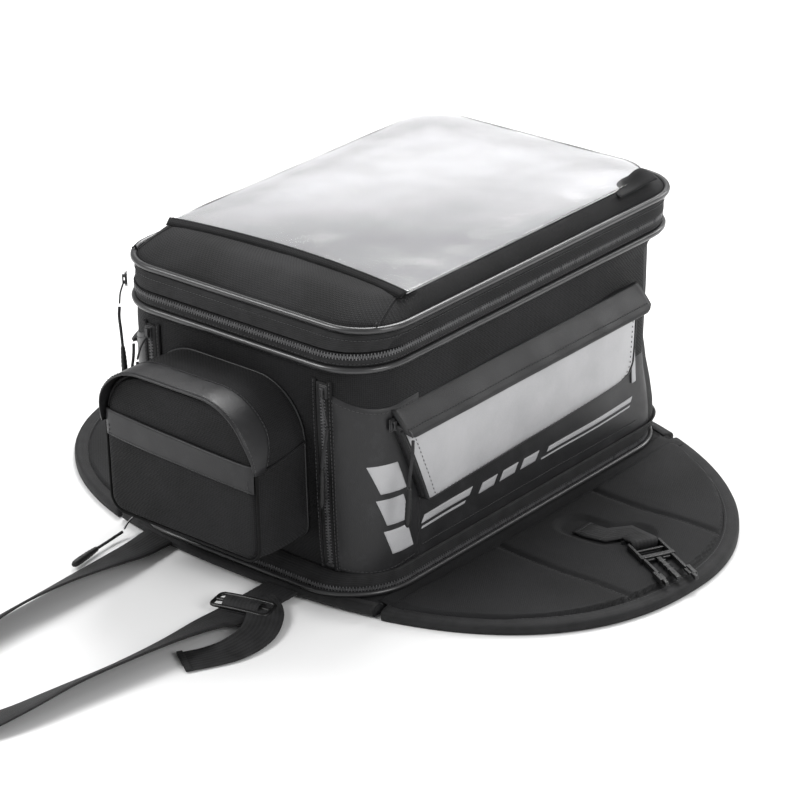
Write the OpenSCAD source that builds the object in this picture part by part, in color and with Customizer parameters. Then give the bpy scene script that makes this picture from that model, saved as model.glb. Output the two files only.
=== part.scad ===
// Zip-off tank bag: a stuffed bag with a clear map pocket on its lid, zipped to a harness base
// with two magnetic wings. Millimetres, +Z up. The bag's long side runs along Y, its front
// pocket faces -Y, and the origin is the middle of the underside that rests on the fuel tank.

/* [Bag] */
// Half the width between the bag's side walls
body_half_w = 135; // [130:1:138]
// Front wall of the bag, along Y
body_front_y = -212; // [-214:1:-208]
// Rear wall of the bag, along Y
body_rear_y = 207; // [200:1:208]
// Corner radius of the walls, in plan
body_corner_r = 46; // [42:1:50]
// Thickness of the outer fabric
fabric_t = 2.2; // [1.6:0.1:2.6]
// Thickness of the foam lining
foam_t = 4; // [2:0.5:6]
// Height of the bag's underside above the tank
body_bottom_z = 15.2; // [15.2:0.1:18]

/* [Lid] */
// Height of the zip that opens the lid
lid_zip_z = 222; // [221:0.5:224]
// Half the width of the lid over its walls
lid_half_w = 139; // [137:1:141]
// Top of the lid's fabric
lid_top_z = 256; // [252:1:258]
// Half the width of the clear window
window_half_w = 126; // [110:1:127]
// Radius of the piping cord
piping_r = 2.4; // [1.8:0.1:2.6]

/* [Harness] */
// Reach of each wing from the centre line
wing_reach = 314; // [290:1:320]
// Thickness of a wing
wing_t = 8; // [7:0.5:9]
// Width of the headstock webbing
webbing_w = 34; // [25:1:36]
// Thickness of the webbing
webbing_t = 2; // [1.2:0.1:2]

/* [Front pocket] */
// Middle of the front pocket, along X
front_pocket_x = -9; // [-10:1:-6]
// Half the width of the front pocket
front_pocket_half_w = 82; // [76:1:83]
// Bottom of the front pocket
front_pocket_bottom_z = 51; // [46:1:56]
// Top of the front pocket
front_pocket_top_z = 184; // [180:1:186]
// Front face of the front pocket, along Y
front_pocket_face_y = -272; // [-274:1:-262]

/* [Side pockets] */
// Outside of each side pocket, from the centre line
side_pocket_x = 150; // [146:1:151]
// Rain flap's lower edge, height
rain_flap_low_z = 150; // [149:1:152]

/* [Hidden] */

gap = 0.3;
zip_tape_t = 1.8;
// Wing fold line: it runs along Y at this distance from the centre line, at mid thickness
fold_x = 146;
fold_z = wing_t / 2;
base_half_w = fold_x - wing_t / 2 - 0.6;
grip_t = 2;
board_t = 2;
cover_top_z = 9;
harness_mid_y = -10;
harness_front = 218;
harness_rear = 226;
binding_w = 4;
// Top rim of the bag's walls
body_top_z = lid_zip_z - gap;
body_piping_z = 207.8;
lid_piping_z = 241;
lid_front_y = -207.6;
lid_rear_y = 207.6;
window_front_y = -157;
window_rear_y = 153;
// Mouth line of the front pocket, where its upper panel folds down
mouth_z = 131;
// Zip pulls: cord and grip radii
cord_r = 1.3;
grip_r = 3.2;

// Routes of the pulls' cords, from the slider's ring to the grip
lid_cord = [[-131, -211, 199], [-129, -214, 192], [-126, -216, 182], [-124, -217, 168]];
base_cord = [[-117, -238, 6], [-117.5, -247, 4.6], [-117, -256, 4], [-115.5, -269, 4]];
right_corner_cord = [[104, -221, 160], [102, -221, 149], [99, -221, 136], [97, -221, 123]];
left_corner_cord = [[-104, -221, 160], [-102, -221, 149], [-99, -221, 136], [-97, -221, 123]];
right_pocket_cord = [[153.4, -176, 147], [153.6, -177, 136], [153.8, -180, 123], [154.2, -183, 109]];
left_pocket_cord = [[-153.4, -176, 147], [-153.6, -177, 136], [-153.8, -180, 123], [-154.2, -183, 109]];
// Far ends of the rubber grips
lid_grip_end = [-121, -219, 136];
base_grip_end = [-110, -303, 4];
right_corner_grip_end = [95, -221, 88];
left_corner_grip_end = [-95, -221, 88];
right_pocket_grip_end = [155, -187, 76];
left_pocket_grip_end = [-155, -187, 76];

// Headstock strap: x, y, height of its lower edge, and tilt of its width about its run
strap_route = [
    [-87, -231, 2.4, 0], [-85, -262, 2.4, 8], [-85, -300, 1.5, 20], [-85, -350, 0.6, 32],
    [-84, -400, 0.4, 36], [-80, -450, 0.4, 30], [-70, -500, 0.4, 20], [-48, -540, 0.4, 8],
    [-15, -552, 0.4, 0], [14, -538, 0.4, -8], [28, -500, 0.4, -20], [36, -450, 0.4, -30],
    [44, -400, 0.4, -32], [49, -350, 1, -26], [51, -310, 2.4, -12], [52, -285, 2.4, 0],
    [52, -255, 2.4, 0], [54, -231, 2.4, 0]
];
tail_route = [[60, -262], [78, -274], [90, -296], [89, -322], [78, -344], [66, -364]];

// Points of a rectangle with round corners, from y0 to y1
function round_rect(half_w, y0, y1, r, steps = 8) = [
    for (c = [[half_w - r, y0 + r, -90], [half_w - r, y1 - r, 0],
              [-half_w + r, y1 - r, 90], [-half_w + r, y0 + r, 180]])
        for (i = [0 : steps])
            [c[0] + r * cos(c[2] + 90 * i / steps), c[1] + r * sin(c[2] + 90 * i / steps)]
];

// Outline of the harness in plan: two half superellipses, fuller at the front
function spread(c, power) = sign(c) * pow(abs(c), power);
function harness_outline(inset) = [
    for (a = [0 : 5 : 355])
        let (n = a > 180 ? 2 / 2.4 : 1, h = a > 180 ? harness_front : harness_rear)
            [(wing_reach - inset) * spread(cos(a), n),
             harness_mid_y + (h - inset) * spread(sin(a), n)]
];

// Outline of the front pocket, seen from the front: a box with an arched top
function arch_outline(inset, z0, z1) = [
    for (c = [[front_pocket_half_w - 48, z1 - 48, 0, 48 - inset],
              [48 - front_pocket_half_w, z1 - 48, 90, 48 - inset],
              [14 - front_pocket_half_w, z0 + 14, 180, 14 - inset],
              [front_pocket_half_w - 14, z0 + 14, 270, 14 - inset]])
        for (i = [0 : 8])
            [front_pocket_x + c[0] + c[3] * cos(c[2] + 90 * i / 8),
             c[1] + c[3] * sin(c[2] + 90 * i / 8)]
];

function unit(v) = v / norm(v);
function last(list) = list[len(list) - 1];

module plate(half_w, y0, y1, r, z0, z1) {
    translate([0, 0, z0]) linear_extrude(z1 - z0) polygon(round_rect(half_w, y0, y1, r));
}

module ring(half_w, y0, y1, r, wall, z0, z1) {
    translate([0, 0, z0]) linear_extrude(z1 - z0) difference() {
        polygon(round_rect(half_w, y0, y1, r));
        polygon(round_rect(half_w - wall, y0 + wall, y1 - wall, r - wall));
    }
}

// Piping cord round a rectangle with round corners, given along the cord's centre line
module piping_loop(half_w, y0, y1, r, z, cord_radius) {
    for (c = [[half_w - r, y1 - r, 0], [r - half_w, y1 - r, 90],
              [r - half_w, y0 + r, 180], [half_w - r, y0 + r, 270]])
        translate([c[0], c[1], z]) rotate([0, 0, c[2]])
            rotate_extrude(angle = 90, $fn = 64) translate([r, 0]) circle(cord_radius, $fn = 24);
    for (side = [-1, 1]) {
        translate([side * half_w, y0 + r, z]) rotate([-90, 0, 0])
            cylinder(h = y1 - y0 - 2 * r, r = cord_radius, $fn = 24);
    }
    for (y = [y0, y1])
        translate([r - half_w, y, z]) rotate([0, 90, 0])
            cylinder(h = 2 * (half_w - r), r = cord_radius, $fn = 24);
}

// A round cord along a list of points, with eight sides
module cord_tube(route, radius) {
    n = len(route);
    sides = 8;
    rings = [for (i = [0 : n - 1])
        let (t = unit(route[min(i + 1, n - 1)] - route[max(i - 1, 0)]),
             u = unit(cross(t, abs(t[0]) > 0.9 ? [0, 1, 0] : [1, 0, 0])), v = cross(t, u))
            for (k = [0 : sides - 1])
                route[i] + radius * (cos(360 * k / sides) * u + sin(360 * k / sides) * v)];
    side_faces = [for (i = [0 : n - 2]) for (k = [0 : sides - 1])
        let (a = i * sides + k, b = i * sides + (k + 1) % sides)
            each [[a, b + sides, b], [a, a + sides, b + sides]]];
    polyhedron(rings, concat([[for (k = [0 : sides - 1]) k]],
        side_faces, [[for (k = [sides - 1 : -1 : 0]) (n - 1) * sides + k]]), convexity = 4);
}

// A flat strap along points [x, y, height of its lower edge, tilt]
module strap(route, width, thickness) {
    n = len(route);
    rings = [for (i = [0 : n - 1])
        let (a = route[max(i - 1, 0)], b = route[min(i + 1, n - 1)],
             t = unit([b[0] - a[0], b[1] - a[1], 0]),
             tilt = route[i][3],
             flat = [-t[1], t[0], 0],
             w = cos(tilt) * flat + [0, 0, sin(tilt)], up = [0, 0, cos(tilt)] - sin(tilt) * flat,
             mid = [route[i][0], route[i][1],
                    route[i][2] + width / 2 * abs(sin(tilt)) + thickness / 2 * cos(tilt)])
            each [mid - w * width / 2 - up * thickness / 2, mid + w * width / 2 - up * thickness / 2,
                  mid + w * width / 2 + up * thickness / 2, mid - w * width / 2 + up * thickness / 2]];
    side_faces = [for (i = [0 : n - 2]) for (k = [0 : 3])
        let (a = i * 4 + k, b = i * 4 + (k + 1) % 4) each [[a, b, b + 4], [a, b + 4, a + 4]]];
    polyhedron(rings, concat([[3, 2, 1, 0]], side_faces,
        [[for (k = [0 : 3]) (n - 1) * 4 + k]]), convexity = 6);
}

// A solid extruded from an outline in the X-Z plane, between two places along Y
module front_prism(outline, y0, y1) {
    translate([0, y1, 0]) rotate([90, 0, 0]) linear_extrude(y1 - y0) polygon(outline);
}

// A cylinder from one point to another
module rod(a, b, r) {
    d = b - a;
    translate(a) rotate([0, acos(d[2] / norm(d)), atan2(d[1], d[0])]) cylinder(h = norm(d), r = r, $fn = 24);
}

// ---- harness ----

module grip_pad() {
    color([0.10, 0.10, 0.10]) linear_extrude(grip_t) intersection() {
        polygon(harness_outline(3));
        square([2 * base_half_w, 600], center = true);
    }
}

module base_board() {
    color([0.25, 0.25, 0.25]) plate(120, -200, 192, 30, grip_t + 0.05, grip_t + board_t);
}

module base_cover() {
    color([0.09, 0.09, 0.09]) difference() {
        translate([0, 0, grip_t]) linear_extrude(cover_top_z - grip_t) intersection() {
            polygon(harness_outline(0));
            square([2 * base_half_w, 600], center = true);
        }
        plate(120.3, -200.3, 192.3, 30.3, grip_t - 1, grip_t + board_t + 0.2);
    }
}

module base_piping() {
    color([0.16, 0.16, 0.16]) piping_loop(137, -223, 203, 60, cover_top_z + 2.3, 2.2);
}

module base_zip_tape() {
    color([0.07, 0.07, 0.07]) ring(134.5, -220, 200, 56, zip_tape_t, cover_top_z + 0.1, 14.8);
}

module headstock_strap() {
    color([0.10, 0.10, 0.10])
        strap(strap_route, webbing_w, webbing_t);
}

module strap_adjuster() {
    color([0.08, 0.08, 0.08]) translate([51, -270, 7]) rotate([0, 0, 14]) difference() {
        cube([54, 24, 3], center = true);
        for (y = [-5.6, 5.6]) translate([0, y, 0]) cube([42, 7.2, 4], center = true);
    }
}

module strap_tail() {
    color([0.10, 0.10, 0.10])
        strap([for (p = tail_route) [p[0], p[1], 0.3, 0]], webbing_w * 0.9, 1.6);
}

// ---- one wing, drawn on the right ----

magnet_places = [[196, 104], [232, 22], [222, -78], [186, -150]];

module wing_slab(inset, x0, z0, z1) {
    translate([0, 0, z0]) linear_extrude(z1 - z0) intersection() {
        polygon(harness_outline(inset));
        translate([x0, -300]) square([300, 600]);
    }
}

module wing_pad() {
    difference() {
        union() {
            wing_slab(binding_w, fold_x, grip_t, wing_t);
            translate([fold_x, -202, fold_z]) rotate([-90, 0, 0])
                cylinder(h = 382, r = wing_t / 2, $fn = 32);
        }
        for (p = magnet_places) translate([p[0], p[1], grip_t + 1.2]) cube([56.4, 22.4, 6], center = true);
    }
}

module wing_underside() {
    wing_slab(binding_w, fold_x + 4.2, 0, grip_t - 0.1);
}

module wing_magnets() {
    for (p = magnet_places) translate([p[0], p[1], grip_t + 2]) cube([56, 22, 3.6], center = true);
}

module wing_binding() {
    difference() {
        wing_slab(0, fold_x + 1, 0.2, wing_t);
        wing_slab(binding_w - 0.02, fold_x - 6, -1, wing_t + 1);
    }
}

// Side-release buckle: the male half, on a folded webbing tab
buckle_pivot = [249, 0, 14];
buckle_turn = -28;
buckle_w = 27;

module buckle_strap() {
    color([0.10, 0.10, 0.10]) union() {
        translate([186, -15, wing_t + 0.1]) cube([52, 25, 2]);
        translate([buckle_pivot[0], buckle_pivot[1], 0]) rotate([0, 0, buckle_turn]) difference() {
            union() {
                translate([0, 11.5, buckle_pivot[2]]) rotate([90, 0, 0]) cylinder(h = 23, r = 4, $fn = 32);
                translate([-22, -11.5, wing_t + 0.1]) cube([22, 23, 2.4]);
            }
            translate([0, 13, buckle_pivot[2]]) rotate([90, 0, 0]) cylinder(h = 26, r = 2.3, $fn = 32);
        }
    }
}

module buckle_plug() {
    color([0.06, 0.06, 0.06]) translate(buckle_pivot) rotate([0, 0, buckle_turn]) {
        translate([0, buckle_w / 2, 0]) rotate([90, 0, 0]) cylinder(h = buckle_w, r = 2, $fn = 24);
        for (side = [-1, 1]) translate([0, side * (buckle_w / 2 + 0.5) - 1.5, -2.4]) cube([26, 3, 4.8]);
        translate([23, -buckle_w / 2 - 2, -2.4]) cube([5, buckle_w + 4, 4.8]);
        translate([27.5, -2, -1.8]) cube([40, 4, 3.6]);
        for (side = [-1, 1]) translate([27.5, side * 13 - 2, -1.8]) cube([44, 4, 3.6]);
        for (side = [-1, 1]) translate([52, side * 15 - 2, -2.2]) cube([14, 4, 4.4]);
    }
}

module right_wing() { color([0.10, 0.10, 0.10]) wing_pad(); }
module left_wing() { color([0.10, 0.10, 0.10]) mirror([1, 0, 0]) wing_pad(); }
module right_wing_underside() { color([0.18, 0.18, 0.18]) wing_underside(); }
module left_wing_underside() { color([0.18, 0.18, 0.18]) mirror([1, 0, 0]) wing_underside(); }
module right_wing_magnets() { color([0.6, 0.6, 0.62]) wing_magnets(); }
module left_wing_magnets() { color([0.6, 0.6, 0.62]) mirror([1, 0, 0]) wing_magnets(); }
module right_wing_binding() { color([0.14, 0.14, 0.14]) wing_binding(); }
module left_wing_binding() { color([0.14, 0.14, 0.14]) mirror([1, 0, 0]) wing_binding(); }
module right_buckle_strap() { buckle_strap(); }
module left_buckle_strap() { mirror([1, 0, 0]) buckle_strap(); }
module right_buckle_plug() { buckle_plug(); }
module left_buckle_plug() { mirror([1, 0, 0]) buckle_plug(); }

// ---- bag ----

module bag_shell() {
    color([0.10, 0.10, 0.10])
        ring(body_half_w, body_front_y, body_rear_y, body_corner_r, fabric_t, body_bottom_z + 3, body_top_z);
}

module foam_lining() {
    in = fabric_t + 0.1;
    color([0.35, 0.35, 0.36])
        ring(body_half_w - in, body_front_y + in, body_rear_y - in, body_corner_r - in, foam_t,
             body_bottom_z + 3.1, 214);
}

module bag_floor() {
    color([0.09, 0.09, 0.09])
        plate(body_half_w, body_front_y, body_rear_y, body_corner_r, body_bottom_z, body_bottom_z + 2.9);
}

module floor_board() {
    color([0.3, 0.3, 0.3]) plate(122, -196, 194, 34, body_bottom_z + 3, body_bottom_z + 5);
}

module body_piping() {
    color([0.16, 0.16, 0.16]) piping_loop(body_half_w + piping_r + 0.1, body_front_y - piping_r - 0.1,
        body_rear_y + piping_r + 0.1, body_corner_r + piping_r, body_piping_z, piping_r);
}

module body_zip_tape() {
    out = zip_tape_t + 0.1;
    color([0.06, 0.06, 0.06])
        ring(body_half_w + out, body_front_y - out, body_rear_y + out, body_corner_r + out, zip_tape_t,
             body_piping_z + piping_r + 0.3, body_top_z);
}

// Smooth panel that wraps each front corner, from the corner zip to the side pocket
module corner_panel() {
    intersection() {
        ring(body_half_w + 1.2, body_front_y - 1.2, body_rear_y + 1.2, body_corner_r + 1.2, 1.1, 22, 184);
        translate([101, -230, 20]) cube([60, 42, 170]);
    }
}

module right_corner_panel() { color([0.20, 0.20, 0.20]) corner_panel(); }
module left_corner_panel() { color([0.20, 0.20, 0.20]) mirror([1, 0, 0]) corner_panel(); }

// Side pocket: a shallow bag with a slanted front edge, open at the top under the rain flap
pocket_face = [[-180, 148], [-149, 82], [118, 90], [130, 100], [134, 148]];
pocket_room = [[-174, 149], [-146, 84.5], [116, 92.5], [127, 101], [131, 149]];

module side_prism(outline, x0, x1) {
    translate([x0, 0, 0]) rotate([90, 0, 90]) linear_extrude(x1 - x0) polygon(outline);
}

module side_pocket() {
    difference() {
        side_prism(pocket_face, body_half_w + 0.2, side_pocket_x);
        side_prism(pocket_room, body_half_w + 1.4, side_pocket_x - 1.6);
    }
}

module right_side_pocket() { color([0.70, 0.70, 0.70]) side_pocket(); }
module left_side_pocket() { color([0.70, 0.70, 0.70]) mirror([1, 0, 0]) side_pocket(); }

// Rain flap: hinged along its top edge, it leans out over the pocket's zip
flap_top = [body_half_w + 3, 176];
flap_low = [side_pocket_x + 8, rain_flap_low_z];

module rain_flap() {
    translate([0, 146, 0]) rotate([90, 0, 0]) linear_extrude(316) polygon([
        flap_top, flap_low, flap_low + [-2, -0.6], flap_top + [-1.6, -1]
    ]);
}

module right_rain_flap() { color([0.20, 0.20, 0.20]) rain_flap(); }
module left_rain_flap() { color([0.20, 0.20, 0.20]) mirror([1, 0, 0]) rain_flap(); }

module front_pocket() {
    back_y = body_front_y - 1.5;
    color([0.12, 0.12, 0.12]) difference() {
        front_prism(arch_outline(0, front_pocket_bottom_z, front_pocket_top_z), front_pocket_face_y, back_y);
        front_prism(arch_outline(2.2, front_pocket_bottom_z, front_pocket_top_z),
                    front_pocket_face_y + 2.4, back_y - 2.4);
        intersection() {
            front_prism(arch_outline(2.2, front_pocket_bottom_z, front_pocket_top_z),
                        front_pocket_face_y - 1, front_pocket_face_y + 3);
            translate([front_pocket_x - 100, -300, mouth_z]) cube([200, 60, 80]);
        }
    }
}

module front_pocket_hood() {
    color([0.20, 0.20, 0.20]) difference() {
        front_prism(arch_outline(-2, front_pocket_bottom_z, front_pocket_top_z),
                    front_pocket_face_y - 10, front_pocket_face_y + 26);
        front_prism(arch_outline(-0.1, front_pocket_bottom_z, front_pocket_top_z),
                    front_pocket_face_y - 20, front_pocket_face_y + 30);
        translate([front_pocket_x - 100, -300, 0]) cube([200, 80, mouth_z + 3]);
    }
}

module front_pocket_flap() {
    color([0.10, 0.10, 0.10]) intersection() {
        front_prism(arch_outline(3, front_pocket_bottom_z, front_pocket_top_z),
                    front_pocket_face_y, front_pocket_face_y + 2);
        translate([front_pocket_x - 100, -300, mouth_z + 0.6]) cube([200, 60, 80]);
    }
}

// ---- lid ----

module lid_skin(inset, drop) {
    hull() {
        plate(lid_half_w - inset, lid_front_y + 2 + inset, lid_rear_y - 2 - inset, 44 - inset,
              lid_zip_z + gap - drop, lid_piping_z - drop);
        plate(window_half_w + 4 - inset, window_front_y - 12 + inset, 188 - inset, 40 - inset,
              lid_piping_z, lid_top_z - inset);
    }
}

module lid_shell() {
    color([0.10, 0.10, 0.10]) difference() {
        lid_skin(0, 0);
        lid_skin(2.4, 2.4);
    }
}

module lid_lining() {
    color([0.35, 0.35, 0.36]) plate(110, -150, 170, 30, lid_top_z - 5, lid_top_z - 2.5);
}

module lid_piping() {
    color([0.16, 0.16, 0.16]) piping_loop(lid_half_w + piping_r + 0.1, lid_front_y - 0.5,
        lid_rear_y + 0.5, 44, lid_piping_z, piping_r);
}

module lid_zip_tape() {
    color([0.06, 0.06, 0.06]) ring(lid_half_w + 1.9, lid_front_y + 0.1, lid_rear_y - 0.1, 46,
        zip_tape_t, lid_zip_z + gap, lid_piping_z - piping_r - 0.3);
}

module map_back() {
    color([0.55, 0.55, 0.56]) plate(window_half_w, window_front_y, window_rear_y, 4,
        lid_top_z + 0.1, lid_top_z + 1);
}

module map_window() {
    color([0.92, 0.92, 0.93, 0.5]) plate(window_half_w, window_front_y, window_rear_y, 4,
        lid_top_z + 3.6, lid_top_z + 4.8);
}

// ---- zips: slider with its wire bail, cord and rubber grip ----

// Slider block on a wall: placed at its middle, facing outwards along local +X
module slider_block(at, turn) {
    translate(at) rotate([0, 0, turn]) union() {
        translate([0, -4, -6]) cube([2, 8, 12]);
        translate([1.9, -2.5, -4]) cube([2.4, 5, 8]);
    }
}

module bail(points) {
    cord_tube(points, 0.9);
}

// Rubber grip: a round bar from the cord's end to the given point
module grip(route, end) {
    start = last(route) + unit(end - last(route)) * 0.1;
    color([0.05, 0.05, 0.05]) rod(start, end, grip_r);
}

module lid_slider() {
    color([0.45, 0.45, 0.46]) union() {
        slider_block([-128.1, -203.1, lid_zip_z], 225);
        bail([[-130.6, -205.6, 218], [-131.6, -208.6, 210], [-131.4, -210.4, 201.5]]);
    }
}

// The base zip's slider lies along its zip, just outside the tape's corner
module base_slider() {
    color([0.75, 0.75, 0.76]) union() {
        translate([-78.5, -164, 0]) rotate([0, 0, 232]) union() {
            translate([56.5, -6, 14]) cube([2, 12, 6]);
            translate([58.4, -4, 14.6]) cube([2, 8, 4.6]);
        }
        bail([[-115.6, -210.6, 16.6], [-118, -226, 13], [-117.2, -236, 7.6]]);
    }
}

module corner_slider() {
    slider_block([95, body_front_y - 1.6, 187], 270);
    bail([[95, body_front_y - 5.5, 184], [100, -220, 174], [103.6, -221, 162.6]]);
}

module pocket_slider() {
    slider_block([body_half_w + 1.4, -181, 158], 0);
    bail([[body_half_w + 5.4, -180, 157], [151, -177, 154.5], [153.2, -176, 149.6]]);
}

module right_corner_slider() { color([0.35, 0.35, 0.36]) corner_slider(); }
module left_corner_slider() { color([0.35, 0.35, 0.36]) mirror([1, 0, 0]) corner_slider(); }
module right_pocket_slider() { color([0.35, 0.35, 0.36]) pocket_slider(); }
module left_pocket_slider() { color([0.35, 0.35, 0.36]) mirror([1, 0, 0]) pocket_slider(); }
module lid_pull_cord() { color([0.12, 0.12, 0.12]) cord_tube(lid_cord, cord_r); }
module base_pull_cord() { color([0.12, 0.12, 0.12]) cord_tube(base_cord, cord_r); }
module right_corner_pull_cord() { color([0.12, 0.12, 0.12]) cord_tube(right_corner_cord, cord_r); }
module left_corner_pull_cord() { color([0.12, 0.12, 0.12]) cord_tube(left_corner_cord, cord_r); }
module right_pocket_pull_cord() { color([0.12, 0.12, 0.12]) cord_tube(right_pocket_cord, cord_r); }
module left_pocket_pull_cord() { color([0.12, 0.12, 0.12]) cord_tube(left_pocket_cord, cord_r); }
module lid_pull_grip() { grip(lid_cord, lid_grip_end); }
module base_pull_grip() { grip(base_cord, base_grip_end); }
module right_corner_pull_grip() { grip(right_corner_cord, right_corner_grip_end); }
module left_corner_pull_grip() { grip(left_corner_cord, left_corner_grip_end); }
module right_pocket_pull_grip() { grip(right_pocket_cord, right_pocket_grip_end); }
module left_pocket_pull_grip() { grip(left_pocket_cord, left_pocket_grip_end); }

grip_pad();
base_board();
base_cover();
base_piping();
base_zip_tape();
headstock_strap();
strap_adjuster();
strap_tail();
right_wing();
right_wing_underside();
right_wing_magnets();
right_wing_binding();
right_buckle_strap();
right_buckle_plug();
left_wing();
left_wing_underside();
left_wing_magnets();
left_wing_binding();
left_buckle_strap();
left_buckle_plug();
bag_shell();
foam_lining();
bag_floor();
floor_board();
body_piping();
body_zip_tape();
right_corner_panel();
left_corner_panel();
right_side_pocket();
left_side_pocket();
right_rain_flap();
left_rain_flap();
front_pocket();
front_pocket_hood();
front_pocket_flap();
lid_shell();
lid_lining();
lid_piping();
lid_zip_tape();
map_back();
map_window();
lid_slider();
lid_pull_cord();
lid_pull_grip();
base_slider();
base_pull_cord();
base_pull_grip();
right_corner_slider();
right_corner_pull_cord();
right_corner_pull_grip();
left_corner_slider();
left_corner_pull_cord();
left_corner_pull_grip();
right_pocket_slider();
right_pocket_pull_cord();
right_pocket_pull_grip();
left_pocket_slider();
left_pocket_pull_cord();
left_pocket_pull_grip();
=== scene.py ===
# %% [markdown]
# A zip-off tank bag for a motorcycle. A stuffed bag with a clear map pocket on its lid stands on a
# harness with two magnetic wings, and a webbing loop runs forward to the steering head. The hard
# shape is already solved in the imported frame, so every cell below only dresses that frame: cloth,
# vinyl, piping, zips, stitches, webbing and buckles, each riding on the body that it is sewn to.

# %% Load the frame
import math

import bmesh
import bpy
import numpy as np
from mathutils import Matrix, Vector, noise
from mathutils.bvhtree import BVHTree


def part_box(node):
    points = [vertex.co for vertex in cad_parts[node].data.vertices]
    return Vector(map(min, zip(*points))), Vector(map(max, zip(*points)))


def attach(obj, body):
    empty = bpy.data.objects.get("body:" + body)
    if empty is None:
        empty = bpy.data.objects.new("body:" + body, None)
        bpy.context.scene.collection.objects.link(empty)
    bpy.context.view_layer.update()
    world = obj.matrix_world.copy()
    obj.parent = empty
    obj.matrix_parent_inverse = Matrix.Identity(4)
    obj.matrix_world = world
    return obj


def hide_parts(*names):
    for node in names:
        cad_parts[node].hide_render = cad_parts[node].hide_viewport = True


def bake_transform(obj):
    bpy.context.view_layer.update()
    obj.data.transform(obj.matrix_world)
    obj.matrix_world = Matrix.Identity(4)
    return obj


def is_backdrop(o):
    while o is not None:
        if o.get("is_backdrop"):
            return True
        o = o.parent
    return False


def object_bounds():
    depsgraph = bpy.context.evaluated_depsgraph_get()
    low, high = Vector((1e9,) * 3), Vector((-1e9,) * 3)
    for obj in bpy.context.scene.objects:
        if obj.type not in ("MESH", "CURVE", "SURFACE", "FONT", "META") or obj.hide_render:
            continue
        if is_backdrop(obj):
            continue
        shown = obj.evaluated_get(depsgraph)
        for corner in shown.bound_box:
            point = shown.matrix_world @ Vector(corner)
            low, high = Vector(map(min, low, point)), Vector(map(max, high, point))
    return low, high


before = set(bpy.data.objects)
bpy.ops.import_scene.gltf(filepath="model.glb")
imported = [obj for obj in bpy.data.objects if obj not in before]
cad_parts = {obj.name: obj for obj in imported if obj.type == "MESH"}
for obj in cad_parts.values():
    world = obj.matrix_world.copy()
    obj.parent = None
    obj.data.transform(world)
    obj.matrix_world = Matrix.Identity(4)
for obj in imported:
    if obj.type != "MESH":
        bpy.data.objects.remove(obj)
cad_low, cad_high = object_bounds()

MM = 0.001
UP = (0, 0, 1)
SIDES = (("right", 1), ("left", -1))
print("frame box in mm:", [round(v / MM) for v in cad_low], [round(v / MM) for v in cad_high])

# %% [markdown]
# The camera comes first. It stands about 2.7 m away with a long lens, looking down on the front
# right corner, so parallel seams stay nearly parallel. Depth of field and shift stay off, because
# the same camera is turned round the bag for the other views.

# %% Camera
AZIMUTH, ELEVATION, ROLL = (math.radians(a) for a in (40.87, 25.10, -1.445))
LOOK_AT = Vector((0.0179, -0.0338, 0.0907))
DISTANCE, FOCAL_MM = 2.7004, 143.5

back = Vector((math.sin(AZIMUTH) * math.cos(ELEVATION), -math.cos(AZIMUTH) * math.cos(ELEVATION),
               math.sin(ELEVATION)))
level_right = Vector((math.cos(AZIMUTH), math.sin(AZIMUTH), 0))
level_up = back.cross(level_right)
right = math.cos(ROLL) * level_right + math.sin(ROLL) * level_up
up = back.cross(right)
camera = bpy.data.objects.new("camera", bpy.data.cameras.new("camera"))
camera.data.lens, camera.data.sensor_width = FOCAL_MM, 36
camera.data.clip_end = 50
camera.matrix_world = (Matrix.Translation(LOOK_AT + back * DISTANCE)
                       @ Matrix((right, up, back)).transposed().to_4x4())
bpy.context.scene.collection.objects.link(camera)
bpy.context.scene.camera = camera
print("camera at", [round(v, 3) for v in camera.matrix_world.translation])

# %% [markdown]
# A product table: a pale floor that fades into a pale background, one broad soft key light from
# above and to the left, a weaker one that fills the right side, and a strip behind the bag. Black
# fabric shows its shape only through what it reflects, so the lights are large and close.

# %% Floor and light
PALE = (0.86, 0.86, 0.86, 1)
world = bpy.data.worlds.new("studio")
world.use_nodes = True
world.node_tree.nodes["Background"].inputs["Color"].default_value = (1, 1, 1, 1)
world.node_tree.nodes["Background"].inputs["Strength"].default_value = 0.42
bpy.context.scene.world = world
bpy.context.scene.view_settings.view_transform = "Standard"

floor_paint = bpy.data.materials.new("studio_floor")
floor_paint.use_nodes = True
floor_shader = floor_paint.node_tree.nodes["Principled BSDF"]
floor_shader.inputs["Base Color"].default_value = PALE
floor_shader.inputs["Roughness"].default_value = 0.9
floor_mesh = bpy.data.meshes.new("studio_floor")
floor_mesh.from_pydata([(-9, -9, 0), (9, -9, 0), (9, 9, 0), (-9, 9, 0)], [], [(0, 1, 2, 3)])
floor_mesh.materials.append(floor_paint)
floor = bpy.data.objects.new("studio_floor", floor_mesh)
floor.location.z = cad_low.z - 0.0005
bpy.context.scene.collection.objects.link(floor)
floor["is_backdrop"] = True

for name, place, size, watts in [("key", (-1.3, -1.7, 1.9), 1.1, 46), ("fill", (2.4, -0.4, 1.3), 1.1, 26),
                                 ("top", (-0.5, 1.1, 1.9), 1.3, 52), ("rim", (0.8, 2.2, 1.1), 1.0, 20)]:
    lamp = bpy.data.objects.new(name, bpy.data.lights.new(name, "AREA"))
    lamp.data.size, lamp.data.energy = size, watts
    lamp.location = place
    lamp.rotation_euler = (Vector((0, 0, 0.1)) - Vector(place)).to_track_quat("-Z", "Y").to_euler()
    bpy.context.scene.collection.objects.link(lamp)
print("stage: floor and 4 soft lights")

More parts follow.
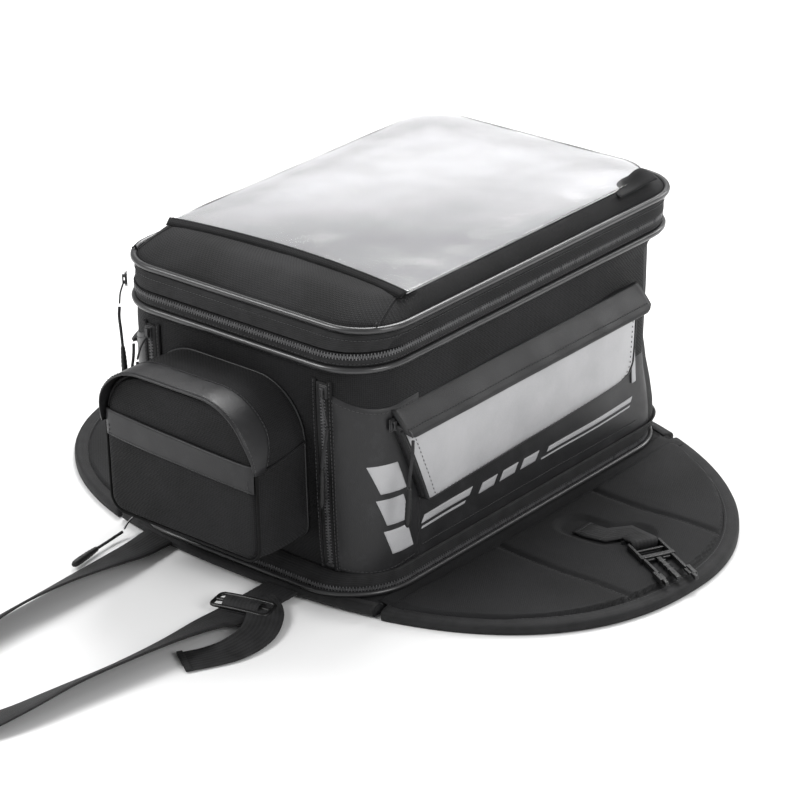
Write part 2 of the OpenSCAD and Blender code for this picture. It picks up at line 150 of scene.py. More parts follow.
# %% [markdown]
# Woven nylon is the bag's main cloth. Over-and-under threads could be modelled, but at a thread a
# millimetre wide they are better as a pattern: two triangle waves, one for each thread direction,
# swapped by a checker so that each thread dives under the next. The pattern reads the piece's own
# UV map, which is laid out in metres, so that it runs round corners as cut cloth does.

# %% Woven cloth
def woven_cloth(name, light, dark, thread=1.1 * MM, relief=0.55, rough=(0.60, 0.85), sheen=0.04):
    material = bpy.data.materials.new(name)
    material.use_nodes = True
    nodes, links = material.node_tree.nodes, material.node_tree.links
    shader, output = nodes["Principled BSDF"], nodes["Material Output"]
    shader.label = "Cloth surface"
    shader.inputs["Sheen Weight"].default_value = sheen
    shader.inputs["Sheen Roughness"].default_value = 0.45
    shader.inputs["Specular IOR Level"].default_value = 0.22

    uv = nodes.new("ShaderNodeUVMap")
    uv.label, uv.uv_map = "Cut cloth, in metres", "weave"
    count = nodes.new("ShaderNodeVectorMath")
    count.label, count.operation = "Count threads", "SCALE"
    count.inputs["Scale"].default_value = 1 / thread
    split = nodes.new("ShaderNodeSeparateXYZ")
    split.label = "Warp and weft"
    warp = nodes.new("ShaderNodeMath")
    warp.label, warp.operation = "Warp thread's back", "PINGPONG"
    warp.inputs[1].default_value = 0.5
    weft = nodes.new("ShaderNodeMath")
    weft.label, weft.operation = "Weft thread's back", "PINGPONG"
    weft.inputs[1].default_value = 0.5
    checker = nodes.new("ShaderNodeTexChecker")
    checker.label = "Which thread is on top"
    checker.inputs["Scale"].default_value = 1.0
    height = nodes.new("ShaderNodeMix")
    height.label = "Top thread's height"
    links.new(uv.outputs["UV"], count.inputs[0])
    links.new(count.outputs["Vector"], split.inputs["Vector"])
    links.new(count.outputs["Vector"], checker.inputs["Vector"])
    links.new(split.outputs["X"], warp.inputs[0])
    links.new(split.outputs["Y"], weft.inputs[0])
    links.new(checker.outputs["Fac"], height.inputs["Factor"])
    links.new(warp.outputs["Value"], height.inputs[2])
    links.new(weft.outputs["Value"], height.inputs[3])

    place = nodes.new("ShaderNodeTexCoord")
    place.label = "Place on the bag"
    dust = nodes.new("ShaderNodeTexNoise")
    dust.label = "Lint and slubs"
    dust.inputs["Scale"].default_value = 420
    dust.inputs["Detail"].default_value = 3
    fade = nodes.new("ShaderNodeTexNoise")
    fade.label = "Uneven dye"
    fade.inputs["Scale"].default_value = 13
    fade.inputs["Detail"].default_value = 4
    tone = nodes.new("ShaderNodeMath")
    tone.label, tone.operation = "Tone", "MULTIPLY_ADD"
    tone.inputs[1].default_value = 0.9
    shift = nodes.new("ShaderNodeMath")
    shift.label, shift.operation = "Lint on the tone", "MULTIPLY_ADD"
    shift.inputs[1].default_value = 0.25
    ramp = nodes.new("ShaderNodeValToRGB")
    ramp.label = "Dyed yarn"
    ramp.color_ramp.elements[0].color = (*dark, 1)
    ramp.color_ramp.elements[1].color = (*light, 1)
    ramp.color_ramp.elements[0].position, ramp.color_ramp.elements[1].position = 0.60, 0.98
    links.new(place.outputs["Object"], dust.inputs["Vector"])
    links.new(place.outputs["Object"], fade.inputs["Vector"])
    links.new(height.outputs[0], tone.inputs[0])
    links.new(fade.outputs["Fac"], tone.inputs[2])
    links.new(dust.outputs["Fac"], shift.inputs[0])
    links.new(tone.outputs["Value"], shift.inputs[2])
    links.new(shift.outputs["Value"], ramp.inputs["Fac"])
    links.new(ramp.outputs["Color"], shader.inputs["Base Color"])

    dull = nodes.new("ShaderNodeMapRange")
    dull.label = "Duller in the valleys"
    dull.inputs["From Max"].default_value = 0.5
    dull.inputs["To Min"].default_value, dull.inputs["To Max"].default_value = rough[1], rough[0]
    links.new(height.outputs[0], dull.inputs["Value"])
    links.new(dull.outputs["Result"], shader.inputs["Roughness"])

    slack = nodes.new("ShaderNodeBump")
    slack.label = "Slack in the cloth"
    slack.inputs["Strength"].default_value, slack.inputs["Distance"].default_value = 0.35, 2.2 * MM
    weave = nodes.new("ShaderNodeBump")
    weave.label = "Thread relief"
    weave.inputs["Strength"].default_value, weave.inputs["Distance"].default_value = relief, 0.5 * MM
    links.new(fade.outputs["Fac"], slack.inputs["Height"])
    links.new(height.outputs[0], weave.inputs["Height"])
    links.new(slack.outputs["Normal"], weave.inputs["Normal"])
    links.new(weave.outputs["Normal"], shader.inputs["Normal"])

    for row, (title, members) in enumerate([("Weave", [uv, count, split, warp, weft, checker, height]),
                                            ("Colour", [place, dust, fade, tone, shift, ramp]),
                                            ("Sheen and relief", [dull, slack, weave])]):
        group = nodes.new("NodeFrame")
        group.label = title
        for column, node in enumerate(members):
            node.parent = group
            node.location = (column * 190 - 1300, 420 - row * 380)
    shader.location, output.location = (200, 200), (520, 200)
    return material


BODY_CLOTH = woven_cloth("body_weave", (0.0135, 0.0135, 0.0145), (0.002, 0.002, 0.002), thread=1.7 * MM,
                         relief=0.8, sheen=0.02)
WING_CLOTH = woven_cloth("wing_weave", (0.012, 0.012, 0.013), (0.003, 0.003, 0.003), thread=1.1 * MM,
                         relief=0.5, sheen=0.02)
LINING_CLOTH = woven_cloth("lining_cloth", (0.22, 0.22, 0.23), (0.12, 0.12, 0.125), thread=0.5 * MM,
                           relief=0.3, rough=(0.7, 0.9))
print("cloths:", BODY_CLOTH.name, WING_CLOTH.name, LINING_CLOTH.name)

# %% [markdown]
# The flaps, the corner panels and the band on the front pocket are smooth coated vinyl. It has a
# fine leather grain, long soft sags, and dull scuffs where hands rub it. Cells of a Voronoi pattern
# give the grain; noise of two sizes gives the rest. The piping is the same stuff, drawn tight and
# shinier, so one function makes both.

# %% Smooth vinyl and rubber
def smooth_vinyl(name, colour, worn, grain=1.3 * MM, relief=0.22, rough=(0.34, 0.52), coat=0.0, sag=0.25,
                 specular=0.35):
    material = bpy.data.materials.new(name)
    material.use_nodes = True
    nodes, links = material.node_tree.nodes, material.node_tree.links
    shader, output = nodes["Principled BSDF"], nodes["Material Output"]
    shader.label = "Vinyl skin"
    shader.inputs["Coat Weight"].default_value = coat
    shader.inputs["Coat Roughness"].default_value = 0.18
    shader.inputs["Specular IOR Level"].default_value = specular

    place = nodes.new("ShaderNodeTexCoord")
    place.label = "Place on the bag"
    cells = nodes.new("ShaderNodeTexVoronoi")
    cells.label, cells.feature = "Leather grain", "DISTANCE_TO_EDGE"
    cells.inputs["Scale"].default_value = 1 / grain
    soft = nodes.new("ShaderNodeTexNoise")
    soft.label = "Soft sags"
    soft.inputs["Scale"].default_value, soft.inputs["Detail"].default_value = 16, 2
    rub = nodes.new("ShaderNodeTexNoise")
    rub.label = "Rubbed spots"
    rub.inputs["Scale"].default_value, rub.inputs["Detail"].default_value = 60, 8
    rub.inputs["Roughness"].default_value = 0.7
    for texture in (cells, soft, rub):
        links.new(place.outputs["Object"], texture.inputs["Vector"])

    spots = nodes.new("ShaderNodeMapRange")
    spots.label = "Only the most rubbed"
    spots.inputs["From Min"].default_value, spots.inputs["From Max"].default_value = 0.52, 0.75
    tint = nodes.new("ShaderNodeMix")
    tint.label, tint.data_type = "Scuffed colour", "RGBA"
    tint.inputs[6].default_value, tint.inputs[7].default_value = (*colour, 1), (*worn, 1)
    gloss = nodes.new("ShaderNodeMapRange")
    gloss.label = "Uneven gloss"
    gloss.inputs["From Min"].default_value, gloss.inputs["From Max"].default_value = 0.35, 0.7
    gloss.inputs["To Min"].default_value, gloss.inputs["To Max"].default_value = rough
    links.new(rub.outputs["Fac"], spots.inputs["Value"])
    links.new(spots.outputs["Result"], tint.inputs["Factor"])
    links.new(tint.outputs[2], shader.inputs["Base Color"])
    links.new(rub.outputs["Fac"], gloss.inputs["Value"])
    links.new(gloss.outputs["Result"], shader.inputs["Roughness"])

    shallow = nodes.new("ShaderNodeMapRange")
    shallow.label = "Flat tops to the grain"
    shallow.inputs["From Max"].default_value = 0.25
    slack = nodes.new("ShaderNodeBump")
    slack.label = "Sag relief"
    slack.inputs["Strength"].default_value, slack.inputs["Distance"].default_value = sag, 4 * MM
    pores = nodes.new("ShaderNodeBump")
    pores.label = "Grain relief"
    pores.inputs["Strength"].default_value, pores.inputs["Distance"].default_value = relief, 0.25 * MM
    links.new(cells.outputs["Distance"], shallow.inputs["Value"])
    links.new(soft.outputs["Fac"], slack.inputs["Height"])
    links.new(shallow.outputs["Result"], pores.inputs["Height"])
    links.new(slack.outputs["Normal"], pores.inputs["Normal"])
    links.new(pores.outputs["Normal"], shader.inputs["Normal"])

    for row, (title, members) in enumerate([("Patterns", [place, cells, soft, rub]),
                                            ("Colour and gloss", [spots, tint, gloss]),
                                            ("Relief", [shallow, slack, pores])]):
        group = nodes.new("NodeFrame")
        group.label = title
        for column, node in enumerate(members):
            node.parent = group
            node.location = (column * 200 - 900, 420 - row * 340)
    shader.location, output.location = (200, 200), (520, 200)
    return material


VINYL = smooth_vinyl("smooth_vinyl", (0.018, 0.018, 0.019), (0.032, 0.032, 0.034))
PIPING = smooth_vinyl("piping_vinyl", (0.020, 0.020, 0.021), (0.036, 0.036, 0.038), grain=0.9 * MM,
                      relief=0.03, rough=(0.34, 0.42), coat=0.3, sag=0.0, specular=0.6)
GRIP_RUBBER = smooth_vinyl("grip_rubber", (0.008, 0.008, 0.008), (0.018, 0.018, 0.019), grain=0.7 * MM,
                           relief=0.2, rough=(0.38, 0.55), sag=0.0)
PLASTIC = smooth_vinyl("buckle_plastic", (0.010, 0.010, 0.010), (0.026, 0.026, 0.027), grain=0.6 * MM,
                       relief=0.18, rough=(0.26, 0.42), coat=0.15, sag=0.0)
ANTI_SLIP = smooth_vinyl("anti_slip", (0.055, 0.055, 0.058), (0.085, 0.085, 0.088), grain=2.2 * MM,
                         relief=0.6, rough=(0.6, 0.8), sag=0.1)
BOARD = smooth_vinyl("stiffener_board", (0.11, 0.11, 0.11), (0.15, 0.15, 0.15), grain=1.8 * MM, relief=0.2,
                     rough=(0.5, 0.7))
print("vinyls and plastics:", VINYL.name, PIPING.name, GRIP_RUBBER.name, PLASTIC.name, ANTI_SLIP.name,
      BOARD.name)

# %% [markdown]
# Webbing, binding tape and zip tape are all narrow weaves with ribs. On webbing the ribs run
# lengthwise and a faint herringbone crosses them; on zip tape and binding the ribs run across. The
# pattern reads the strap's UV map, where the first number runs along the strap and the second
# across it, both in metres.

# %% Ribbed narrow weaves
def ribbed_weave(name, light, dark, across=2.0 * MM, along=1.6 * MM, cross_share=0.5, relief=0.6,
                 sheen=0.03, rough=0.66):
    material = bpy.data.materials.new(name)
    material.use_nodes = True
    nodes, links = material.node_tree.nodes, material.node_tree.links
    shader, output = nodes["Principled BSDF"], nodes["Material Output"]
    shader.label = "Ribbed tape"
    shader.inputs["Sheen Weight"].default_value = sheen
    shader.inputs["Specular IOR Level"].default_value = 0.25
    shader.inputs["Roughness"].default_value = rough

    uv = nodes.new("ShaderNodeUVMap")
    uv.label, uv.uv_map = "Along and across, in metres", "weave"
    split = nodes.new("ShaderNodeSeparateXYZ")
    split.label = "Along, across"
    lengthwise = nodes.new("ShaderNodeMath")
    lengthwise.label, lengthwise.operation = "Picks along the tape", "PINGPONG"
    lengthwise.inputs[1].default_value = along / 2
    crosswise = nodes.new("ShaderNodeMath")
    crosswise.label, crosswise.operation = "Ribs across the tape", "PINGPONG"
    crosswise.inputs[1].default_value = across / 2
    slant = nodes.new("ShaderNodeMath")
    slant.label, slant.operation = "Picks lean with the ribs", "ADD"
    ribs = nodes.new("ShaderNodeMapRange")
    ribs.label = "Rib height"
    ribs.inputs["From Max"].default_value = across / 2
    picks = nodes.new("ShaderNodeMapRange")
    picks.label = "Pick height"
    picks.inputs["From Max"].default_value = along / 2
    height = nodes.new("ShaderNodeMix")
    height.label = "Ribs and picks together"
    height.inputs["Factor"].default_value = cross_share
    links.new(uv.outputs["UV"], split.inputs["Vector"])
    links.new(split.outputs["Y"], crosswise.inputs[0])
    links.new(split.outputs["X"], slant.inputs[0])
    links.new(crosswise.outputs["Value"], slant.inputs[1])
    links.new(slant.outputs["Value"], lengthwise.inputs[0])
    links.new(crosswise.outputs["Value"], ribs.inputs["Value"])
    links.new(lengthwise.outputs["Value"], picks.inputs["Value"])
    links.new(ribs.outputs["Result"], height.inputs[2])
    links.new(picks.outputs["Result"], height.inputs[3])

    place = nodes.new("ShaderNodeTexCoord")
    place.label = "Place on the bag"
    fray = nodes.new("ShaderNodeTexNoise")
    fray.label = "Fuzz and fading"
    fray.inputs["Scale"].default_value, fray.inputs["Detail"].default_value = 90, 6
    tone = nodes.new("ShaderNodeMath")
    tone.label, tone.operation = "Tone", "MULTIPLY_ADD"
    tone.inputs[1].default_value = 0.6
    ramp = nodes.new("ShaderNodeValToRGB")
    ramp.label = "Dyed yarn"
    ramp.color_ramp.elements[0].color = (*dark, 1)
    ramp.color_ramp.elements[1].color = (*light, 1)
    ramp.color_ramp.elements[0].position = 0.35
    bump = nodes.new("ShaderNodeBump")
    bump.label = "Rib relief"
    bump.inputs["Strength"].default_value, bump.inputs["Distance"].default_value = relief, 0.5 * MM
    links.new(place.outputs["Object"], fray.inputs["Vector"])
    links.new(height.outputs[0], tone.inputs[0])
    links.new(fray.outputs["Fac"], tone.inputs[2])
    links.new(tone.outputs["Value"], ramp.inputs["Fac"])
    links.new(ramp.outputs["Color"], shader.inputs["Base Color"])
    links.new(height.outputs[0], bump.inputs["Height"])
    links.new(bump.outputs["Normal"], shader.inputs["Normal"])

    for row, (title, members) in enumerate([("Ribs", [uv, split, crosswise, slant, lengthwise, ribs, picks,
                                                      height]), ("Colour", [place, fray, tone, ramp]),
                                            ("Relief", [bump])]):
        group = nodes.new("NodeFrame")
        group.label = title
        for column, node in enumerate(members):
            node.parent = group
            node.location = (column * 190 - 1300, 420 - row * 340)
    shader.location, output.location = (300, 200), (620, 200)
    return material


WEBBING = ribbed_weave("webbing", (0.022, 0.022, 0.023), (0.004, 0.004, 0.004), across=3.4 * MM,
                       along=1.5 * MM)
BINDING = ribbed_weave("binding_tape", (0.018, 0.018, 0.019), (0.004, 0.004, 0.004), across=5 * MM,
                       along=1.3 * MM, cross_share=0.8)
ZIP_TAPE = ribbed_weave("zip_tape", (0.020, 0.020, 0.021), (0.003, 0.003, 0.003), across=1.5 * MM,
                        along=1.2 * MM, cross_share=0.35)
BRAID = ribbed_weave("pull_cord_braid", (0.034, 0.034, 0.036), (0.006, 0.006, 0.006), across=1.6 * MM,
                     along=1.2 * MM, cross_share=0.6)
print("tapes:", WEBBING.name, BINDING.name, ZIP_TAPE.name, BRAID.name)

# %% [markdown]
# Metal: the sliders are worn steel, the base zip's ring is bright plating, and the zip's coil is
# black nylon with a wet glint. What tells them apart is colour, roughness and how many fine
# scratches cross the surface, so one function takes those as arguments. Scratches are noise
# stretched twenty times along one direction.

# %% Metal and nylon coil
def metal(name, colour, worn, rough=(0.2, 0.4), metallic=1.0, scratch=0.3):
    material = bpy.data.materials.new(name)
    material.use_nodes = True
    nodes, links = material.node_tree.nodes, material.node_tree.links
    shader, output = nodes["Principled BSDF"], nodes["Material Output"]
    shader.label = "Metal"
    shader.inputs["Metallic"].default_value = metallic
    place = nodes.new("ShaderNodeTexCoord")
    place.label = "Place on the bag"
    stretch = nodes.new("ShaderNodeMapping")
    stretch.label = "Scratches run one way"
    stretch.inputs["Scale"].default_value = (900, 900, 45)
    lines = nodes.new("ShaderNodeTexNoise")
    lines.label = "Fine scratches"
    lines.inputs["Scale"].default_value, lines.inputs["Detail"].default_value = 1, 3
    patches = nodes.new("ShaderNodeTexNoise")
    patches.label = "Tarnish"
    patches.inputs["Scale"].default_value, patches.inputs["Detail"].default_value = 160, 5
    tint = nodes.new("ShaderNodeMix")
    tint.label, tint.data_type = "Tarnished colour", "RGBA"
    tint.inputs[6].default_value, tint.inputs[7].default_value = (*colour, 1), (*worn, 1)
    gloss = nodes.new("ShaderNodeMapRange")
    gloss.label = "Uneven polish"
    gloss.inputs["From Min"].default_value, gloss.inputs["From Max"].default_value = 0.3, 0.7
    gloss.inputs["To Min"].default_value, gloss.inputs["To Max"].default_value = rough
    bump = nodes.new("ShaderNodeBump")
    bump.label = "Scratch relief"
    bump.inputs["Strength"].default_value, bump.inputs["Distance"].default_value = scratch, 0.05 * MM
    links.new(place.outputs["Object"], stretch.inputs["Vector"])
    links.new(stretch.outputs["Vector"], lines.inputs["Vector"])
    links.new(place.outputs["Object"], patches.inputs["Vector"])
    links.new(patches.outputs["Fac"], tint.inputs["Factor"])
    links.new(patches.outputs["Fac"], gloss.inputs["Value"])
    links.new(tint.outputs[2], shader.inputs["Base Color"])
    links.new(gloss.outputs["Result"], shader.inputs["Roughness"])
    links.new(lines.outputs["Fac"], bump.inputs["Height"])
    links.new(bump.outputs["Normal"], shader.inputs["Normal"])
    for row, (title, members) in enumerate([("Scratches", [place, stretch, lines, bump]),
                                            ("Tarnish", [patches, tint, gloss])]):
        group = nodes.new("NodeFrame")
        group.label = title
        for column, node in enumerate(members):
            node.parent = group
            node.location = (column * 200 - 800, 400 - row * 340)
    shader.location, output.location = (200, 200), (520, 200)
    return material


ZIP_METAL = metal("zip_metal", (0.018, 0.018, 0.019), (0.07, 0.07, 0.072), rough=(0.28, 0.5), metallic=0.3)
BRIGHT_METAL = metal("bright_metal", (0.72, 0.72, 0.73), (0.50, 0.50, 0.51), rough=(0.10, 0.25))
MAGNET = metal("magnet_metal", (0.55, 0.55, 0.57), (0.38, 0.38, 0.39), rough=(0.25, 0.45))
COIL = metal("nylon_coil", (0.060, 0.060, 0.062), (0.16, 0.16, 0.165), rough=(0.22, 0.38), metallic=0.0,
             scratch=0.1)
THREAD = metal("stitch_thread", (0.020, 0.020, 0.021), (0.055, 0.055, 0.057), rough=(0.45, 0.6),
               metallic=0.0, scratch=0.4)
PALE_THREAD = metal("pale_thread", (0.10, 0.10, 0.10), (0.20, 0.20, 0.20), rough=(0.5, 0.7), metallic=0.0,
                    scratch=0.4)
print("metals and threads:", ZIP_METAL.name, BRIGHT_METAL.name, MAGNET.name, COIL.name, THREAD.name,
      PALE_THREAD.name)

# %% [markdown]
# Reflective cloth is a grey film of glass beads on a backing. Up close it is a net of tiny cells;
# from a step away it is an even pale grey with faint smudges and creases. The white backing sheet
# of the map pocket has the same make-up without the cells' contrast.

# %% Reflective cloth and map backing
def beaded_film(name, light, dark, cell=1.1 * MM, relief=0.15, rough=0.42, specular=0.6):
    material = bpy.data.materials.new(name)
    material.use_nodes = True
    nodes, links = material.node_tree.nodes, material.node_tree.links
    shader, output = nodes["Principled BSDF"], nodes["Material Output"]
    shader.label = "Beaded film"
    shader.inputs["Roughness"].default_value = rough
    shader.inputs["Specular IOR Level"].default_value = specular
    place = nodes.new("ShaderNodeTexCoord")
    place.label = "Place on the bag"
    cells = nodes.new("ShaderNodeTexVoronoi")
    cells.label, cells.feature = "Bead cells", "DISTANCE_TO_EDGE"
    cells.inputs["Scale"].default_value = 1 / cell
    smudge = nodes.new("ShaderNodeTexNoise")
    smudge.label = "Handling smudges"
    smudge.inputs["Scale"].default_value, smudge.inputs["Detail"].default_value = 22, 7
    blend = nodes.new("ShaderNodeMath")
    blend.label, blend.operation = "Cells on the smudges", "MULTIPLY_ADD"
    blend.inputs[1].default_value = 0.5
    ramp = nodes.new("ShaderNodeValToRGB")
    ramp.label = "Film colour"
    ramp.color_ramp.elements[0].color = (*dark, 1)
    ramp.color_ramp.elements[1].color = (*light, 1)
    ramp.color_ramp.elements[0].position, ramp.color_ramp.elements[1].position = 0.35, 0.75
    sag = nodes.new("ShaderNodeBump")
    sag.label = "Soft creases"
    sag.inputs["Strength"].default_value, sag.inputs["Distance"].default_value = 0.3, 3 * MM
    beads = nodes.new("ShaderNodeBump")
    beads.label = "Bead relief"
    beads.inputs["Strength"].default_value, beads.inputs["Distance"].default_value = relief, 0.2 * MM
    links.new(place.outputs["Object"], cells.inputs["Vector"])
    links.new(place.outputs["Object"], smudge.inputs["Vector"])
    links.new(cells.outputs["Distance"], blend.inputs[0])
    links.new(smudge.outputs["Fac"], blend.inputs[2])
    links.new(blend.outputs["Value"], ramp.inputs["Fac"])
    links.new(ramp.outputs["Color"], shader.inputs["Base Color"])
    links.new(smudge.outputs["Fac"], sag.inputs["Height"])
    links.new(cells.outputs["Distance"], beads.inputs["Height"])
    links.new(sag.outputs["Normal"], beads.inputs["Normal"])
    links.new(beads.outputs["Normal"], shader.inputs["Normal"])
    for row, (title, members) in enumerate([("Film", [place, cells, smudge, blend, ramp]),
                                            ("Relief", [sag, beads])]):
        group = nodes.new("NodeFrame")
        group.label = title
        for column, node in enumerate(members):
            node.parent = group
            node.location = (column * 200 - 900, 400 - row * 340)
    shader.location, output.location = (200, 200), (520, 200)
    return material


REFLECTIVE = beaded_film("reflective_cloth", (0.44, 0.44, 0.45), (0.35, 0.35, 0.36))
MAP_SHEET = beaded_film("map_backing", (0.78, 0.78, 0.79), (0.73, 0.73, 0.74), cell=2.5 * MM, relief=0.05,
                        rough=0.5, specular=0.4)
print("films:", REFLECTIVE.name, MAP_SHEET.name)

# %% [markdown]
# The sheet under the map window isn't evenly pale: it carries painted shade, standing in for the
# darker reflection the window shows towards its front right corner, which clears slowly across the
# lid. A ramp along that diagonal, its edge bent by a slow noise, darkens the sheet's own colour.

# %% Painted shade on the map sheet
def painted_shade_corner(material, across, start, end, shade_depth):
    nodes, links = material.node_tree.nodes, material.node_tree.links
    shader = nodes["Principled BSDF"]
    sheet = shader.inputs["Base Color"].links[0].from_socket
    place = nodes.new("ShaderNodeTexCoord")
    place.label = "Place on the lid"
    along = nodes.new("ShaderNodeVectorMath")
    along.label, along.operation = "Distance along the diagonal", "DOT_PRODUCT"
    along.inputs[1].default_value = across
    bend = nodes.new("ShaderNodeTexNoise")
    bend.label = "Bends of the painted shade"
    bend.inputs["Scale"].default_value, bend.inputs["Detail"].default_value = 8, 2
    shift = nodes.new("ShaderNodeMath")
    shift.label, shift.operation = "Bent distance", "MULTIPLY_ADD"
    shift.inputs[1].default_value = 0.11
    # painted shade: runs from its darkest value at the front right corner to none across the lid
    fade = nodes.new("ShaderNodeMapRange")
    fade.label, fade.interpolation_type = "Painted shade fades out", "SMOOTHSTEP"
    fade.inputs["From Min"].default_value, fade.inputs["From Max"].default_value = start, end
    fade.inputs["To Min"].default_value = shade_depth
    tint = nodes.new("ShaderNodeMix")
    # multiplies the sheet's colour by the painted shade
    tint.label, tint.data_type, tint.blend_type = "Sheet with painted shade", "RGBA", "MULTIPLY"
    tint.inputs["Factor"].default_value = 1
    links.new(place.outputs["Object"], along.inputs[0])
    links.new(place.outputs["Object"], bend.inputs["Vector"])
    links.new(bend.outputs["Fac"], shift.inputs[0])
    links.new(along.outputs["Value"], shift.inputs[2])
    links.new(shift.outputs["Value"], fade.inputs["Value"])
    links.new(sheet, tint.inputs[6])
    links.new(fade.outputs["Result"], tint.inputs[7])
    links.new(tint.outputs[2], shader.inputs["Base Color"])
    # this frame holds the painted shade nodes
    group = nodes.new("NodeFrame")
    group.label = "Haze"
    for column, node in enumerate([place, along, bend, shift, fade, tint]):
        node.parent = group
        node.location = (column * 200 - 1100, -700)


# painted shade on the map sheet, darkest towards the lid's front right corner
painted_shade_corner(MAP_SHEET, (-0.654, 0.756, 0), -0.040, 0.125, 0.42)
print("painted shade on", MAP_SHEET.name)

# %% [markdown]
# The map pocket's window is clear soft vinyl. It lets the pale sheet below show, and its own waves
# catch the light. Transmission with a low index gives both, and a long-wave bump gives the waves.

# %% Clear vinyl
def clear_vinyl(name):
    material = bpy.data.materials.new(name)
    material.use_nodes = True
    nodes, links = material.node_tree.nodes, material.node_tree.links
    shader, output = nodes["Principled BSDF"], nodes["Material Output"]
    shader.label = "Clear film"
    shader.inputs["Base Color"].default_value = (0.97, 0.97, 0.975, 1)
    shader.inputs["Transmission Weight"].default_value = 1.0
    shader.inputs["IOR"].default_value = 1.3
    place = nodes.new("ShaderNodeTexCoord")
    place.label = "Place on the lid"
    wave = nodes.new("ShaderNodeTexNoise")
    wave.label = "Slow waves in the film"
    wave.inputs["Scale"].default_value, wave.inputs["Detail"].default_value = 9, 2
    haze = nodes.new("ShaderNodeTexNoise")
    haze.label = "Handling haze"
    haze.inputs["Scale"].default_value, haze.inputs["Detail"].default_value = 45, 6
    dull = nodes.new("ShaderNodeMapRange")
    dull.label = "Haze dulls the film"
    dull.inputs["To Min"].default_value, dull.inputs["To Max"].default_value = 0.06, 0.22
    bump = nodes.new("ShaderNodeBump")
    bump.label = "Wave relief"
    bump.inputs["Strength"].default_value, bump.inputs["Distance"].default_value = 0.5, 6 * MM
    links.new(place.outputs["Object"], wave.inputs["Vector"])
    links.new(place.outputs["Object"], haze.inputs["Vector"])
    links.new(haze.outputs["Fac"], dull.inputs["Value"])
    links.new(dull.outputs["Result"], shader.inputs["Roughness"])
    links.new(wave.outputs["Fac"], bump.inputs["Height"])
    links.new(bump.outputs["Normal"], shader.inputs["Normal"])
    for row, (title, members) in enumerate([("Waves", [place, wave, bump]), ("Haze", [haze, dull])]):
        group = nodes.new("NodeFrame")
        group.label = title
        for column, node in enumerate(members):
            node.parent = group
            node.location = (column * 200 - 700, 400 - row * 340)
    shader.location, output.location = (200, 200), (520, 200)
    return material


CLEAR = clear_vinyl("clear_vinyl")
print("film:", CLEAR.name)

# %% [markdown]
# Nearly every soft piece here is a strip of points swept or lofted into a closed skin. One helper
# turns rows of points into that skin and lays out a UV map in metres, so that every weave keeps the
# same thread size. Closed skins have their normals made to point outwards once, at the end. Two
# small helpers come first: one keeps a share between 0 and 1, one gives a slow noise for slack.

# %% Skins from rows of points
def clamp(value):
    return min(1, max(0, value))


def wander(x, y, z):
    return noise.noise(Vector((x, y, z)))


def skin(name, rows, material, around=True, through=False, ends="fan", material_of=None, lengthwise=False):
    count, width = len(rows), len(rows[0])
    grid = np.array([[tuple(p) for p in row] for row in rows], float)
    turn = np.concatenate([grid, grid[:, :1]], 1) if around else grid
    climb = np.concatenate([grid, grid[:1]], 0) if through else grid
    along = np.concatenate([[0], np.cumsum(np.linalg.norm(np.diff(turn[count // 2], axis=0), axis=1))])
    rise = np.concatenate([[0], np.cumsum(np.linalg.norm(np.diff(climb[:, width // 4], axis=0), axis=1))])
    points = [tuple(p) for p in grid.reshape(-1, 3)]
    faces, cut, finish = [], [], []
    for i in range(count if through else count - 1):
        for j in range(width if around else width - 1):
            i2, j2 = (i + 1) % count, (j + 1) % width
            faces.append((i * width + j, i * width + j2, i2 * width + j2, i2 * width + j))
            cut.append(((along[j], rise[i]), (along[j + 1], rise[i]), (along[j + 1], rise[i + 1]),
                        (along[j], rise[i + 1])))
            finish.append(material_of(i, j) if material_of else 0)
    for row in ((0, count - 1) if not through and ends else ()):
        first = row * width
        if ends == "fan":
            points.append(tuple(grid[row].mean(0)))
            for j in range(width):
                faces.append((first + j, first + (j + 1) % width, len(points) - 1))
                cut.append(((grid[row][j][0], grid[row][j][1]),) * 3)
                finish.append(material_of(min(row, count - 2), j) if material_of else 0)
        else:
            for j in range(width // 2 - 1):
                faces.append((first + j, first + j + 1, first + width - 2 - j, first + width - 1 - j))
                cut.append(((along[j], 0), (along[j + 1], 0), (along[j + 1], MM), (along[j], MM)))
                finish.append(0)
    mesh = bpy.data.meshes.new(name)
    mesh.from_pydata(points, [], faces)
    layer = mesh.uv_layers.new(name="weave")
    corners = [corner[::-1] if lengthwise else corner for face in cut for corner in face]
    layer.data.foreach_set("uv", [n for corner in corners for n in corner])
    for one in (material if isinstance(material, (list, tuple)) else [material]):
        mesh.materials.append(one)
    mesh.polygons.foreach_set("material_index", finish)
    mesh.polygons.foreach_set("use_smooth", [True] * len(faces))
    return close_up(name, mesh)


def close_up(name, mesh):
    shape = bmesh.new()
    shape.from_mesh(mesh)
    bmesh.ops.remove_doubles(shape, verts=shape.verts, dist=1e-6)
    bmesh.ops.recalc_face_normals(shape, faces=shape.faces)
    shape.to_mesh(mesh)
    shape.free()
    piece = bpy.data.objects.new(name, mesh)
    bpy.context.scene.collection.objects.link(piece)
    return piece


def surface_tree(piece):
    return BVHTree.FromPolygons([v.co for v in piece.data.vertices],
                                [tuple(p.vertices) for p in piece.data.polygons])


def wear(piece, body, slot, *nodes):
    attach(piece, body)
    if nodes:
        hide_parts(*nodes)
    print(f"{piece.name}: {len(piece.data.polygons)} faces on {body}")
    return piece


# %% [markdown]
# Two shapes come up again and again. A strip has one cross-section carried along a path: webbing,
# tape, bails, cords. A patch is a panel laid on a curved surface, thin at its border and full in
# the middle, so that it looks folded and sewn down. Both end in the same skin.

# %% Strips and patches
def directions(points, closed):
    points = [Vector(p) for p in points]
    last = len(points) - 1
    return [((points[(i + 1) % (last + 1)] - points[i - 1]) if closed else
             (points[min(i + 1, last)] - points[max(i - 1, 0)])).normalized() for i in range(last + 1)]


